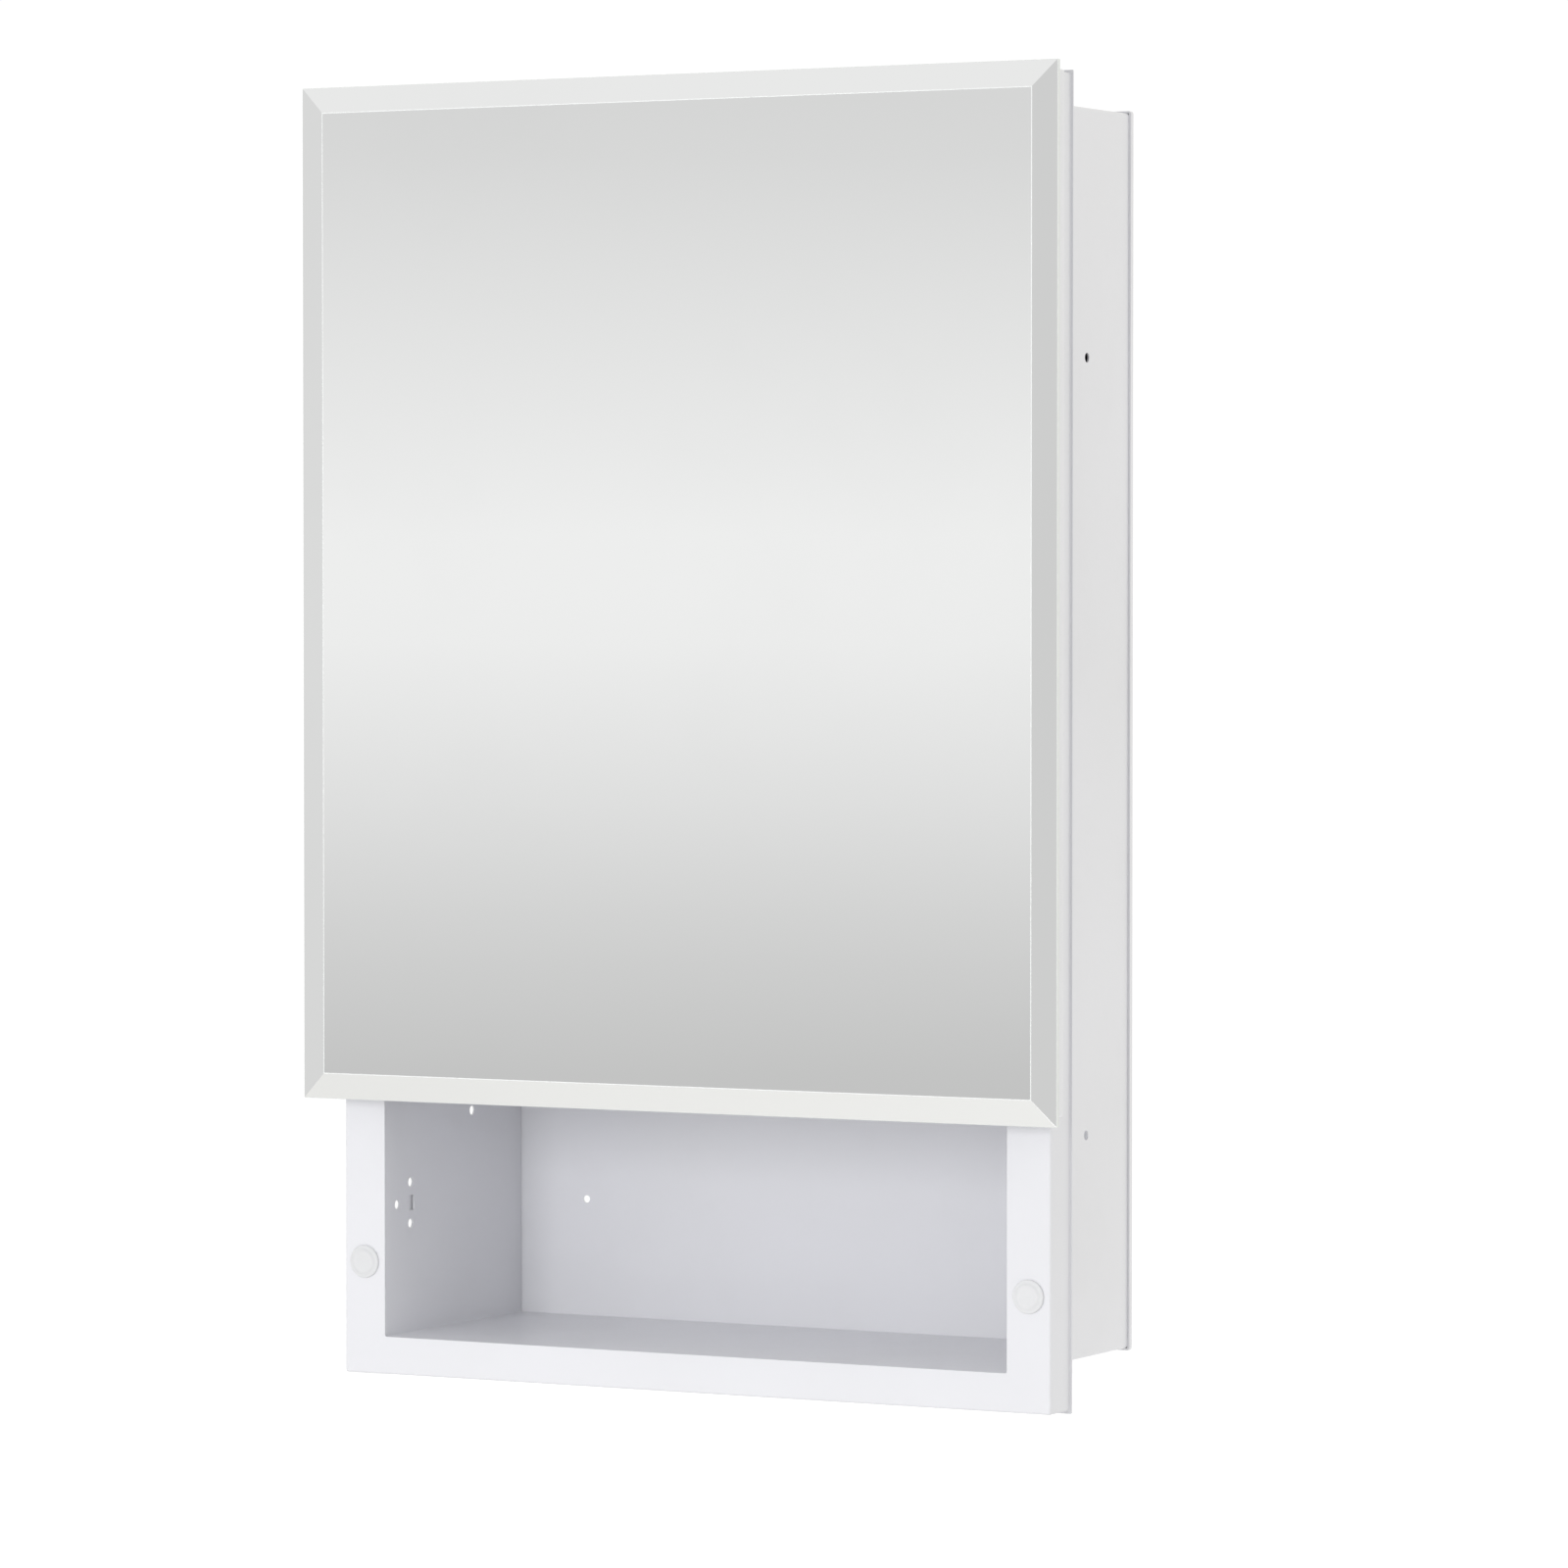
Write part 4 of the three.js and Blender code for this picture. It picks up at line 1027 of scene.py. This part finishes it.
for node in ("door_rivet_1", "door_rivet_2", "door_rivet_3", "strike_rivet_lower", "strike_rivet_upper"):
    low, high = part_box(node)
    middle = (low + high) / 2
    tray_holes.append(("y", (middle.x, tray_high.y, middle.z), rivet_hole, tray_cut))
drill(door_tray, tray_holes)
stand_in(door_tray, "mirror_door", "white_enamel", "door_pan")

foam, tree, surface, place = new_finish("foam_board", Roughness=0.95, Specular_IOR_Level=0.2)
cells = add_node(tree, "ShaderNodeTexVoronoi", {"Vector": place, "Scale": 900.0})
foam_pale = (0.84, 0.81, 0.72, 1.0)
foam_deep = (0.66, 0.63, 0.55, 1.0)
colour_by(tree, surface, cells.outputs["Distance"], foam_pale, foam_deep)
raise_bump(tree, surface, arithmetic(tree, "MULTIPLY", cells.outputs["Distance"], 0.0002))
refined("foam_core", "foam_board", "mirror_door", "foam", [foam], 0.5 * MM)

tape, tree, surface, place = new_finish("foam_tape", Roughness=0.85, Specular_IOR_Level=0.25)
pores = noise(tree, place, 1400.0, detail=3.0)
colour_by(tree, surface, pores, (0.88, 0.87, 0.82, 1.0), (0.76, 0.75, 0.70, 1.0))
raise_bump(tree, surface, arithmetic(tree, "MULTIPLY", pores, 0.00008))
for edge_name in ("left", "right", "bottom", "top"):
    refined(f"tape_{edge_name}", f"mirror_tape_{edge_name}", "mirror_door", "tape", [tape], 0.1 * MM)


# --- Mirror -------------------------------------------------------------------------
# Plate glass 5 mm thick, silvered behind, with a flat bevel 13 mm wide ground and
# polished on its front edge. The bevels meet in crisp mitres, a fine arris painted
# near-white as a highlight line runs round them, and the silver is covered with grey paint.
bevel_width = 13 * MM
bevel_drop = 2 * MM
arris = 0.45 * MM
mirror_corner = 0.6 * MM
front = mirror_low.y
glass = ((mirror_low.x, mirror_low.z), (mirror_high.x, mirror_high.z))

silver, tree, surface, place = new_finish("silvered_glass", Metallic=1.0)
touch = place_effect(tree, touch_group, Place=place, Smudge_Scale=6.0)
colour_by(tree, surface, touch["Smudge"], (0.90, 0.905, 0.90, 1.0), (0.885, 0.89, 0.885, 1.0))
roughen_by(tree, surface, touch["Smudge"], 0.006, 0.03)
warp = place_effect(tree, peel_group, Place=place, Peel_Scale=40.0, Peel_Depth=0.0000004,
                    Wave_Scale=5.0, Wave_Depth=0.00001)
raise_bump(tree, surface, warp["Relief"])

# The arris: near-white with a clear coat, a painted highlight line along the bevel's inner edge.
arris_highlight, tree, surface, place = new_finish("arris_painted_highlight", Coat_Weight=1.0)
grind = noise(tree, place, 3000.0)
colour_by(tree, surface, grind, (0.92, 0.93, 0.925, 1.0), (0.80, 0.83, 0.82, 1.0))
roughen_by(tree, surface, grind, 0.18, 0.34)

cut_edge, tree, surface, place = new_finish("mirror_edge", IOR=1.52, Coat_Weight=0.6, Coat_Roughness=0.08)
seam = noise(tree, place, 260.0, detail=3.0)
colour_by(tree, surface, seam, (0.72, 0.75, 0.735, 1.0), (0.79, 0.81, 0.80, 1.0))
roughen_by(tree, surface, seam, 0.12, 0.28)

backing, tree, surface, place = new_finish("backing_paint", Specular_IOR_Level=0.3)
coat = place_effect(tree, peel_group, Place=place, Peel_Scale=700.0, Peel_Depth=0.00002)
colour_by(tree, surface, coat["Mottle"], (0.36, 0.38, 0.38, 1.0), (0.30, 0.31, 0.32, 1.0))
roughen_by(tree, surface, coat["Mottle"], 0.5, 0.65)
raise_bump(tree, surface, coat["Relief"])

edge_front = front + bevel_drop
mirror_rings = [
    grow(*glass, mirror_corner, -arris, mirror_high.y),
    grow(*glass, mirror_corner, 0.0, mirror_high.y - arris),
    grow(*glass, mirror_corner, 0.0, edge_front + arris * 0.6),
    grow(*glass, mirror_corner, -arris * 0.6, edge_front),
    grow(*glass, mirror_corner, -bevel_width, front + bevel_drop * arris / bevel_width),
    grow(*glass, mirror_corner, -bevel_width - arris, front)]
pane_crease = 3
mirror = add_piece("mirror_pane", loft(mirror_rings, False), [backing, cut_edge, silver, arris_highlight],
                   pane_crease)
for face in mirror.data.polygons:
    depths = [mirror.data.vertices[v].co.y for v in face.vertices]
    flat_front = max(depths) <= front + hair
    bevel = min(depths) > front + hair and max(depths) <= edge_front + hair
    if flat_front or bevel:
        face.material_index = 2
    # The arris faces take the painted highlight.
    elif max(depths) <= edge_front:
        face.material_index = 3
    elif face.normal.y > 0.5:
        face.material_index = 0
    else:
        face.material_index = 1
stand_in(mirror, "mirror_door", "mirror", "mirror_glass")


# --- Strike plate and bumpers -------------------------------------------------------
# A zinc-plated steel plate riveted to the back of the door meets the catch, and two
# clear soft domes beside it keep the closed door off the frame.
bumper_chamfer = 0.2 * MM
bumper_wall = 0.5 * MM
refined("strike", "strike_plate", "mirror_door", "zinc", [zinc], 0.25 * MM, 3)
for end in ("lower", "upper"):
    rivet(f"strike_fixing_{end}", f"strike_rivet_{end}", "mirror_door", (0, 1, 0))
    low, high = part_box(f"door_bumper_{end}")
    radius = (high.x - low.x) / 2
    height = high.y - low.y
    seat = Vector(((low.x + high.x) / 2, low.y, (low.z + high.z) / 2))
    profile = [(0.0, 0.0), (radius - bumper_chamfer, 0.0), (radius, bumper_chamfer)]
    profile += dome(radius, height - bumper_wall, 10, base=bumper_wall)[:-1]
    profile += [(0.0, height)]
    bumper = add_piece(f"soft_bumper_{end}", spun(profile, seat, (0, 1, 0)), [clear_plastic])
    stand_in(bumper, "mirror_door", "clear_plastic", f"door_bumper_{end}")
